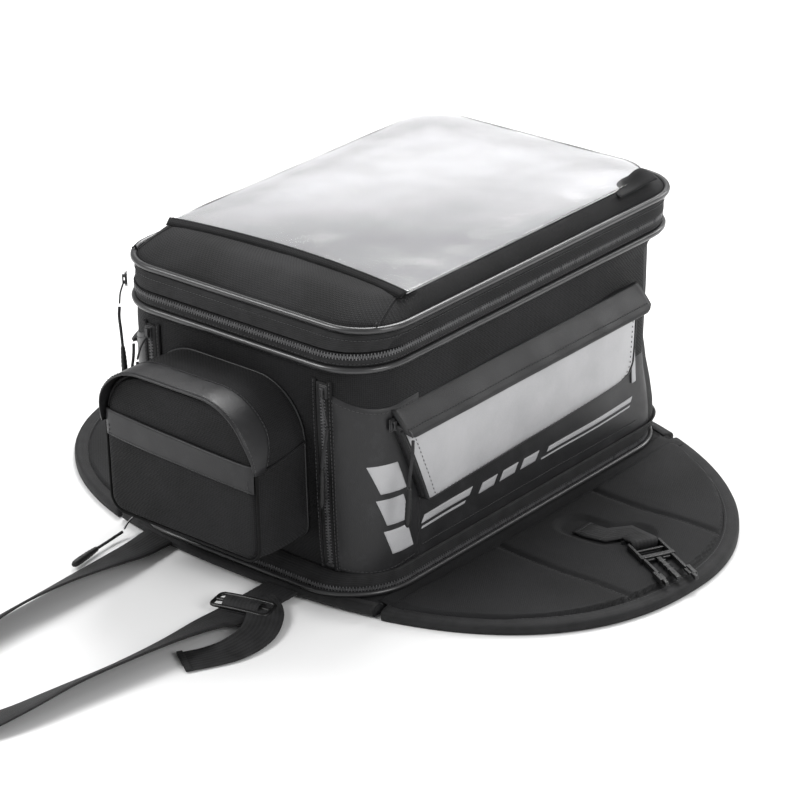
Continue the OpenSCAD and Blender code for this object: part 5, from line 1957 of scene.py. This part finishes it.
rim = arch()
out = arch_out(rim)
rows = []
OUTER_SIDE = [(-0.2115, -0.8), (-0.2145, 0.6), (-0.220, 1.0), (-0.228, 1.5), (-0.236, 1.8), (-0.244, 1.9),
              (-0.252, 1.6), (-0.260, 1.0), (-0.2665, 0.2), (-0.2705, -0.8), (-0.2722, -2.2)]
INNER_SIDE = [(-0.2700, -4.2), (-0.262, -3.4), (-0.245, -2.4), (-0.228, -2.6), (-0.2125, -3.6)]
for y, grow in OUTER_SIDE:
    soft = min(1, (y + 0.274) / 0.012)
    rows.append([Vector((p.x, y, p.z)) + o * (grow * MM + pocket_wrinkle(p, y) * soft)
                 for p, o in zip(rim, out)])
for y, grow in INNER_SIDE:
    rows.append([Vector((p.x, y, p.z)) + o * (grow * MM) for p, o in zip(rim, out)])
wear(skin("front_pocket_sides", rows, BODY_CLOTH, through=True), "bag", "black_weave", "front_pocket")


def pocket_swell(a, z, bulge):
    round_top = 16 * a * (1 - a) * (z - POCKET_LOW) / POCKET_TALL * (POCKET_HIGH - z) / POCKET_TALL
    return bulge * (max(0, round_top) ** 0.7)


def face_row(z, inset=0.0022):
    half = POCKET_HALF - inset
    for low, high, r in ((POCKET_LOW + inset, None, 0.012), (None, POCKET_HIGH - inset, 0.048 - inset)):
        if low is not None and z < low + r:
            half = min(half, POCKET_HALF - inset - r + math.sqrt(max(0, r * r - (low + r - z) ** 2)))
        if high is not None and z > high - r:
            half = min(half, POCKET_HALF - inset - r + math.sqrt(max(0, r * r - (z - high + r) ** 2)))
    return max(half, 0.002)


def face_surface(z0, z1, bulge, inset=0.0022):
    def surface(a, b, out_by):
        z = z0 + (z1 - z0) * b
        x = POCKET_X + face_row(z, inset) * (2 * a - 1)
        fold = min(1, abs(z - MOUTH) / 0.022)
        swell, wrinkle = pocket_swell(a, z, fold * bulge), pocket_wrinkle(Vector((x, 0, z)), 0.1)
        return Vector((x, POCKET_FACE - out_by - swell + 0.6 * fold * wrinkle, z))
    return surface


FACE_BULGE = 2.6 * MM
face = patch("front_pocket_face", face_surface(POCKET_LOW + 0.0022, MOUTH, FACE_BULGE), BODY_CLOTH,
             across=44, along=26, thick=1.2 * MM, rim=0.012, under=1.2 * MM)
wear(face, "bag", "black_weave")


def back_surface(a, b, out_by):
    z = 0.055 + 0.124 * b
    return Vector((POCKET_X + face_row(z, 0.003) * (2 * a - 1), -0.2135 - out_by, z))


back = patch("front_pocket_back", back_surface, LINING_CLOTH, across=30, along=24, thick=0.8 * MM)
wear(back, "bag", "lining")
flap_place = face_surface(MOUTH + 0.0006, POCKET_HIGH - 0.0042, FACE_BULGE, inset=0.0042)
flap = patch("front_pocket_flap_cloth", flap_place, BODY_CLOTH, across=44, along=20, thick=1.1 * MM,
             rim=0.012, under=1.0 * MM)
wear(flap, "front_pocket_flap", "black_weave", "front_pocket_flap")

# %% [markdown]
# A plain band of vinyl crosses the pocket at the mouth, and covers the hinge of the flap. Its lower
# edge is sewn to the face; the band is left attached to no body.

# %% Pocket band and seams
def band_surface(a, b, out_by):
    z = 0.1165 + 0.0235 * b + 0.0035 * (1 - 2 * a)
    x = POCKET_X + (POCKET_HALF - 0.0012) * (2 * a - 1)
    swell, wrinkle = pocket_swell(a, z, FACE_BULGE), pocket_wrinkle(Vector((x, 0, z)), 0.1)
    return Vector((x, POCKET_FACE - 1.25 * MM - out_by - swell + 0.6 * wrinkle, z))


band = patch("front_pocket_band", band_surface, VINYL, across=50, along=14, thick=1.3 * MM, rim=0.03,
             under=0.5 * MM)
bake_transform(band)
print(band.name, "bends from the bag to the flap")
ends = []
for a in (0.03, 0.97):
    ends.append(([band_surface(a, 0.06 + 0.34 * k / 10, 1.35 * MM) for k in range(11)], [(0, -1, 0)] * 11,
                 False))
ends.append(([band_surface(0.02 + 0.96 * k / 60, 0.08, 1.35 * MM) for k in range(61)], [(0, -1, 0)] * 61,
             False))
wear(stitches("front_pocket_band_stitches", ends), "bag", "smooth_vinyl")
for side_name, side in SIDES:
    fold = [Vector((POCKET_X + side * (POCKET_HALF + 1.9 * MM), -0.264 + 0.0485 * k / 16,
                    MOUTH + 0.007 * (k / 16) ** 1.4)) for k in range(17)]
    wear(strip(f"front_pocket_{side_name}_fold", fold, [(side, 0, 0)] * 17, round_bar(1.1 * MM, 8, 0.8),
               BODY_CLOTH), "bag", "black_weave")
pipe = [Vector((p.x, -0.2712, p.z)) + o * 0.4 * MM for p, o in zip(rim, out)]
pipe = [p for p in pipe if p.z < 0.136]
start_at = max(range(len(pipe)), key=lambda i: (pipe[i] - pipe[i - 1]).length)
pipe = pipe[start_at:] + pipe[:start_at]
wear(piping("front_pocket_edge", pipe, 1.3 * MM, BODY_CLOTH, closed=False, spacing=3 * MM, sides=8), "bag",
     "black_weave")
under_seam = [Vector((p.x, -0.2150, p.z)) + o * 0.6 * MM for p, o in zip(rim, out)]
wear(strip("front_pocket_root", under_seam, [(0, -1, 0)] * len(under_seam), round_bar(1.2 * MM, 8, 0.7),
           VINYL, closed=True), "bag", "smooth_vinyl")

# %% [markdown]
# The hood is a strap of vinyl laid over the arch of the pocket and standing out past its face, like
# the peak of a cap. It runs down both sides and ends in slanted tips. It is lofted from the arch:
# at each place along it the section is a bent strip, narrower towards the tips.

# %% Hood over the pocket mouth
HOOD_LOW, HOOD_FADE = 0.1285, 0.030
HOOD_SHARES = [0, 0.04, 0.15, 0.3, 0.5, 0.7, 0.85, 0.96, 1.0]


def hood_edges(p):
    down = clamp((p.z - HOOD_LOW) / HOOD_FADE)
    wave = 0.5 * MM * wander(p.x * 18, 2, p.z * 18)
    return -0.2520 - 0.012 * (1 - down) ** 1.2, -0.2812 + 0.006 * (1 - down), wave


hood_arch = arch(-0.0012)
top_part = [(p, o) for p, o in zip(hood_arch, arch_out(hood_arch)) if p.z > HOOD_LOW]
turn_at = max(range(len(top_part)), key=lambda i: (top_part[i][0] - top_part[i - 1][0]).length)
top_part = top_part[turn_at:] + top_part[:turn_at]
rows = []
for p, o in top_part:
    rear, front_y, wave = hood_edges(p)
    outer, inner = [], []
    for s in HOOD_SHARES:
        place = Vector((p.x, rear + (front_y - rear) * s, p.z))
        bow = (1.6 + 0.6 * math.sin(math.pi * s)) * MM + wave
        outer.append(place + o * (bow + (0 if 0 < s < 1 else -0.8 * MM)))
        inner.append(place + o * (bow - 1.7 * MM))
    rows.append(outer + inner[::-1])
wear(skin("front_pocket_hood_vinyl", rows, VINYL, ends="fan"), "bag", "smooth_vinyl", "front_pocket_hood")
lines = []
for share in (0.07, 0.93):
    line = []
    for p, o in top_part[1:-1]:
        rear, front_y, wave = hood_edges(p)
        line.append(Vector((p.x, rear + (front_y - rear) * share, p.z)) + o * (1.95 * MM + wave))
    lines.append((line, [o for p, o in top_part[1:-1]], False))
wear(stitches("front_pocket_hood_stitches", lines), "bag", "smooth_vinyl")

# %% [markdown]
# The lid is one closed skin: it starts at the middle of its top, runs out over the sloping border,
# down the side to the zip, and back under to the middle. Rings of the same number of points at every
# step keep it a plain loft.

# %% Lid
def lid_ring(half, front, rear, radius, z, wave=0.0):
    row = []
    for u in AROUND:
        part, f = int(u), u - int(u)
        if part % 2:
            cx, cy, turned = corner_centres(half, front, rear, radius)[part // 2]
            angle = math.radians(turned + 90 * f)
            p = Vector((cx + radius * math.cos(angle), cy + radius * math.sin(angle), z))
        else:
            a, b = [((radius - half, front), (half - radius, front)),
                    ((half, front + radius), (half, rear - radius)),
                    ((half - radius, rear), (radius - half, rear)),
                    ((-half, rear - radius), (-half, front + radius))][part // 2]
            p = Vector((a[0] + (b[0] - a[0]) * f, a[1] + (b[1] - a[1]) * f, z))
        if wave:
            p.z += wave * wander(p.x * 16, p.y * 16, 5) + 0.4 * wave * wander(p.x * 45, p.y * 45, 1)
        row.append(p)
    return row


TOP_MID = 0.0095


def top_ring(share, z, wave=0.0, half=0.129, front=-0.168, rear=0.187):
    return lid_ring(half * share, TOP_MID + (front - TOP_MID) * share, TOP_MID + (rear - TOP_MID) * share,
                    0.040 * share, z, wave)


LID_FOOT, LID_INSIDE = (0.139, -0.2056, 0.2056, 0.044), (0.1364, -0.2030, 0.2030, 0.0415)
rows = [top_ring(share, z, wave * MM) for share, z, wave in [
    (0.01, 0.2545, 0.0), (0.3, 0.2545, 0.0), (0.6, 0.2548, 0.0), (0.85, 0.2552, 0.6), (0.95, 0.2556, 1.0),
    (1.0, 0.2553, 1.2)]]
for t in (0.16, 0.33, 0.5, 0.67, 0.84):
    rows.append(lid_ring(0.129 + 0.010 * t, -0.168 - 0.0376 * t, 0.187 + 0.0186 * t, 0.040 + 0.004 * t,
                         0.2553 - 0.0138 * t + 0.0016 * math.sin(math.pi * t), 1.4 * MM))
rows += [lid_ring(*LID_FOOT, z) for z in (0.2412, 0.2385, 0.234, 0.229, 0.2245, 0.2226)]
rows += [lid_ring(*LID_INSIDE, z) for z in (0.2226, 0.229, 0.238)]
for t in (0.33, 0.67, 1.0):
    rows.append(lid_ring(0.1364 - 0.0090 * t, -0.2030 + 0.036 * t, 0.2030 - 0.018 * t, 0.0415 - 0.004 * t,
                         0.238 + 0.0145 * t))
rows += [top_ring(0.7, 0.2523), top_ring(0.35, 0.2522), top_ring(0.01, 0.2522)]
lid_cloth = wear(skin("lid_cloth", rows, BODY_CLOTH), "lid", "black_weave", "lid_shell")
LINING_STEPS = [(0.01, 0.0), (0.5, 0.0), (0.9, 0.0), (0.99, 0.0), (1.0, 0.0006), (1.0, 0.0012),
                (0.99, 0.0016), (0.9, 0.0018), (0.5, 0.0018), (0.01, 0.0018)]
rows = [top_ring(share, 0.2521 - deep, 0.4 * MM, 0.112, -0.152, 0.172) for share, deep in LINING_STEPS]
wear(skin("lid_lining_cloth", rows, LINING_CLOTH), "lid", "lining", "lid_lining")

# %% [markdown]
# Round the lid's foot run its own piping and its half of the zip tape, which leans inwards on its
# way down to meet the bag's half.

# %% Lid piping and zip tape
edge = lid_ring(0.1408, -0.2074, 0.2074, 0.044, 0.2408)
wear(piping("lid_piping_cord", edge, 2.9 * MM, PIPING, swell=0.04), "lid", "piping_vinyl", "lid_piping")
rows = []
for t in (0, 0.04, 0.35, 0.7, 1.0):
    rows.append(lid_ring(0.1368 + 0.0034 * t, -0.2125 + 0.005 * t, 0.2068 + 0.0004 * t, 0.0465 - 0.001 * t,
                         0.2228 + 0.0150 * t))
for t in (1.0, 0.7, 0.35, 0.0):
    rows.append(lid_ring(0.1368 + 0.0034 * t - 0.0014, -0.2125 + 0.005 * t + 0.0014,
                         0.2068 + 0.0004 * t - 0.0014, 0.0455 - 0.001 * t, 0.2228 + 0.0150 * t))
wear(skin("lid_zip_band", rows, ZIP_TAPE, through=True), "lid", "zip_tape", "lid_zip_tape")
row = lid_ring(0.1395, -0.2092, 0.2078, 0.046, 0.2322)
wear(stitches("lid_zip_stitches", [(row, [wall_out(u) for u in AROUND], True)]), "lid", "zip_tape")

# %% [markdown]
# On the lid lies the map pocket: a pale backing sheet, and over it a window of clear film that is
# never quite flat. The film is a patch with long shallow waves and a near edge that bows, and it has
# a narrow seam of cloth turned over its edges with a row of stitches.

# %% Map pocket
WINDOW, FILM_EDGE = (-0.1280, 0.1280, -0.1505), 0.2578


def window_point(a, b):
    x = WINDOW[0] + (WINDOW[1] - WINDOW[0]) * a
    front = WINDOW[2] + 0.0125 * math.sin(math.pi * clamp(a)) ** 0.8
    rear = 0.1465 + math.sqrt(max(0, 0.040 ** 2 - max(0, abs(x) - 0.0880) ** 2))
    return x, front + (rear - front) * b


def window_height(x, y):
    ripple = 0.8 * MM * math.sin((x * 0.9 + y * 0.55) * 42 + 1.0) * math.exp(-((y + 0.10) / 0.09) ** 2)
    slow = 2.2 * MM * wander(x * 9, y * 4, 2) + ripple
    return 0.2600 + 1.5 * MM * clamp((y + 0.15) / 0.2) + slow


def film_surface(a, b, out_by):
    x, y = window_point(a, b)
    border = min(1, min(a, 1 - a, b, 1 - b) / 0.16)
    settle = border * border * (3 - 2 * border)
    return Vector((x, y, FILM_EDGE + (window_height(x, y) - FILM_EDGE) * settle + out_by))


def backing_surface(a, b, out_by):
    x, y = window_point(0.004 + 0.992 * a, 0.004 + 0.992 * b)
    return Vector((x, y, 0.2561 + out_by))


wear(patch("map_backing_sheet", backing_surface, MAP_SHEET, across=30, along=36, thick=0.7 * MM, rim=0.01,
           under=0.2 * MM), "lid", "map_backing", "map_back")
wear(patch("map_window_film", film_surface, CLEAR, across=60, along=70, thick=0.45 * MM, rim=0.008,
           under=0.1 * MM), "lid", "clear_vinyl", "map_window")


hem = [Vector((*window_point(k / 70, 0), 0.2584)) for k in range(71)]
tape = strip("map_hem_front", hem, [UP] * len(hem),
             [(a * MM, b * MM) for a, b in [(7.0, -3.4), (3.4, -0.9), (1.0, 0.5), (-0.6, 0.9), (-1.2, 0.5),
                                            (-1.2, -0.4), (1.0, -1.4), (4.0, -3.4)]], BODY_CLOTH)
wear(tape, "lid", "black_weave")
hem_seam = [p + Vector((0, 0, 0.95 * MM)) for p in hem[1:-1]]
wear(stitches("lid_top_stitches", [(hem_seam, [UP] * len(hem_seam), False)]), "lid", "black_weave")
lid_tree = surface_tree(lid_cloth)
CORNER_SEAM = [(122, -156, 256.9), (125.5, -170, 254.6), (128.5, -182, 250.6), (131.5, -192, 244.6)]
for side_name, side in SIDES:
    fall = []
    for p in smooth_path([Vector((side * x, y, z)) * MM for x, y, z in CORNER_SEAM], 6):
        hit = lid_tree.ray_cast(Vector((p.x, p.y, 0.28)), Vector((0, 0, -1)))[0]
        fall.append((hit or p) + Vector((0, 0, 0.2 * MM)))
    wear(strip(f"lid_{side_name}_corner_seam", fall, [(side * 0.4, -0.4, 0.8)] * len(fall),
               round_bar(1.0 * MM, 8, 0.6), BODY_CLOTH), "lid", "black_weave")

# %% [markdown]
# At the rear right corner of the lid the cloth border stands up in a small folded point, where the
# binding of the map pocket ends.

# %% Folded tip
def tip_surface(a, b, out_by):
    x = 0.110 + 0.026 * a
    y = 0.128 + 0.052 * b - 0.010 * a
    peak = math.exp(-((a - 0.60 - 0.25 * (b - 0.6)) / 0.26) ** 2 - ((b - 0.66) / 0.30) ** 2)
    return Vector((x, y, 0.2548 + 10.5 * MM * peak + out_by))


wear(patch("map_corner_tip", tip_surface, BODY_CLOTH, across=16, along=18, thick=1.3 * MM, rim=0.03,
           under=0.8 * MM), "lid", "black_weave")

# %% [markdown]
# The lid is joined to the bag at its back by a short web of strong cloth, sewn to both. The web is
# left attached to neither.

# %% Rear hinge web
def hinge_surface(a, b, out_by):
    x = -0.098 + 0.196 * a
    z = 0.2145 + 0.0175 * b
    return Vector((x, 0.2106 + out_by, z))


web = patch("lid_hinge_web", hinge_surface, ZIP_TAPE, across=40, along=14, thick=1.5 * MM, rim=0.02,
            under=0.6 * MM)
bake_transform(web)
print(web.name, "bends from the bag to the lid")

# %% [markdown]
# Every zip has a slider: a lower and an upper plate joined by a bridge, and a wire bail that holds a
# pull. The pull is a short braided cord that goes through a long moulded grip. The slider stays
# with its zip and the pull swings from it, so each pair is two bodies. The cord leaves the bail,
# keeps its real length from bail to grip, and the grip is a piece on it.

# %% Sliders
def slider(name, body, place, bail, finish=None):
    boxes = [((0.0, -3.9, -5.6), (0.9, 3.9, 5.6)), ((1.1, -3.3, -5.0), (2.0, 3.3, 5.0)),
             ((0.6, -1.4, -4.6), (1.6, 1.4, 4.6)), ((1.9, -1.6, -3.9), (3.1, 1.6, -1.9)),
             ((1.9, -1.6, 1.9), (3.1, 1.6, 3.9)), ((2.9, -1.6, -3.9), (4.2, 1.6, 3.9))]
    solid = blocks(name + "_plates", boxes, place, finish or ZIP_METAL, 0.45 * MM)
    wear(solid, body, "zip_metal", name)
    path = smooth_path([Vector(p) * MM for p in bail], 8)
    wear(strip(name + "_bail", path, [(0.3, 0.4, 0.87)] * len(path), round_bar(0.95 * MM, 10, 0.8),
               finish or ZIP_METAL), body, "zip_metal")


def turned_place(x, y, z, turn):
    return Matrix.Translation(Vector((x, y, z)) * MM) @ Matrix.Rotation(math.radians(turn), 4, "Z")


def mirrored_place(place):
    flip = Matrix.Diagonal((-1, 1, 1, 1))
    return flip @ place @ Matrix.Diagonal((1, -1, 1, 1))


CORNER_BAIL = [(95, -217.5, 184), (100, -220, 174), (103.6, -221, 162.6)]
SIDE_BAIL = [(140.4, -180, 157), (151, -177, 154.5), (153.2, -176, 149.6)]


def to_left(points):
    return [(-x, y, z) for x, y, z in points]


slider("lid_slider", "lid_slider", turned_place(-128.1, -203.1, 222, 225),
       [(-130.6, -205.6, 218), (-131.6, -208.6, 210), (-131.4, -210.4, 201.5)])
slider("right_corner_slider", "right_corner_slider", turned_place(95, -213.6, 187, 270), CORNER_BAIL)
slider("left_corner_slider", "left_corner_slider", mirrored_place(turned_place(95, -213.6, 187, 270)),
       to_left(CORNER_BAIL))
slider("right_pocket_slider", "right_pocket_slider", turned_place(136.4, -181, 158, 0), SIDE_BAIL)
slider("left_pocket_slider", "left_pocket_slider", mirrored_place(turned_place(136.4, -181, 158, 0)),
       to_left(SIDE_BAIL))
base_place = (Matrix.Translation(Vector((-78.5, -164, 0)) * MM) @ Matrix.Rotation(math.radians(232), 4, "Z")
              @ Matrix.Translation(Vector((56.4, 0, 17)) * MM) @ Matrix.Rotation(math.radians(90), 4, "X"))
slider("base_slider", "base_slider", base_place, [(-115.6, -210.6, 16.6), (-118, -226, 13),
                                                  (-117.2, -236, 7.6)], BRIGHT_METAL)

# %% [markdown]
# A pull is a short braided cord and a long moulded grip. The grip is a bulb: rings of changing
# radius along a straight line. The cord is a limp round braid that leaves the slider's bail and ends
# in the grip; its length from bail to grip is printed.

# %% Cords and grips
def bulb(name, start, end, radii, material, sides=14):
    start, end = Vector(start) * MM, Vector(end) * MM
    count = len(radii) - 1
    path = [start.lerp(end, k / count) for k in range(count + 1)]
    ahead = (end - start).normalized()
    out = ahead.orthogonal().normalized()
    side = ahead.cross(out)
    turns = [2 * math.pi * k / sides for k in range(sides)]
    rows = [[p + (out * math.cos(t) * 0.82 + side * math.sin(t)) * r * MM for t in turns]
            for p, r in zip(path, radii)]
    return skin(name, rows, material, ends="fan", lengthwise=True)


GRIP_RADII = [1.5, 2.0, 2.4, 2.2, 2.5, 2.7, 2.45, 2.8, 2.95, 2.7, 3.05, 3.15, 2.9, 3.15, 3.2, 2.95, 3.2,
              3.2, 3.2, 3.18, 3.15, 3.1, 3.0, 2.8, 2.4, 1.6]
BRAID_THICK = 2.6 * MM
PULLS = {
    "lid_pull": ([(-131, -211, 199), (-129, -214, 192), (-126, -216, 182), (-124, -217, 168)],
                 (-121, -219, 136)),
    "base_pull": ([(-117, -238, 6), (-117.5, -247, 4.6), (-117, -256, 4), (-115.5, -269, 4)],
                  (-110, -303, 4)),
    "right_corner_pull": ([(104, -221, 160), (102, -221, 149), (99, -221, 136), (97, -221, 123)],
                          (95, -221, 88)),
    "left_corner_pull": ([(-104, -221, 160), (-102, -221, 149), (-99, -221, 136), (-97, -221, 123)],
                         (-95, -221, 88)),
    "right_pocket_pull": ([(153.4, -176, 147), (153.6, -177, 136), (153.8, -180, 123), (154.2, -183, 109)],
                          (155, -187, 76)),
    "left_pocket_pull": ([(-153.4, -176, 147), (-153.6, -177, 136), (-153.8, -180, 123),
                          (-154.2, -183, 109)], (-155, -187, 76)),
}
for body, (route, end) in PULLS.items():
    path = smooth_path([Vector(p) * MM for p in route], 8)
    long = sum((b - a).length for a, b in zip(path, path[1:]))
    grip = bulb(body + "_grip_moulding", route[-1], end, GRIP_RADII, GRIP_RUBBER)
    wear(grip, body, "grip_rubber", body + "_grip")
    lies_flat = body == "base_pull"
    outward = [UP if lies_flat else (1, 0.2, 0)] * len(path)
    lead = strip(body + "_braid", path, outward, round_bar(BRAID_THICK / 2, 10), BRAID)
    wear(lead, body, "pull_cord", body + "_cord")
    tuple(path[0])
    [tuple(p) for p in path]
    print(body, "cord is", round(long / MM, 1), "mm from bail to grip")

# %% [markdown]
# Some parts of the frame already have their right shape: stiffener boards and magnets. They keep
# their meshes and get a finish in place of the flat one they came with.

# %% Finishes for the frame's own parts
OWN_FINISH = {"base_board": BOARD, "floor_board": BOARD, "right_wing_magnets": MAGNET,
              "left_wing_magnets": MAGNET}
for node, material in OWN_FINISH.items():
    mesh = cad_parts[node].data
    mesh.materials.clear()
    mesh.materials.append(material)
    print(node, "finished as", material.name)
left = [n for n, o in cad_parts.items() if not o.hide_render and n not in OWN_FINISH]
print("frame parts still plain:", left)

# %% Finish
low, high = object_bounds()
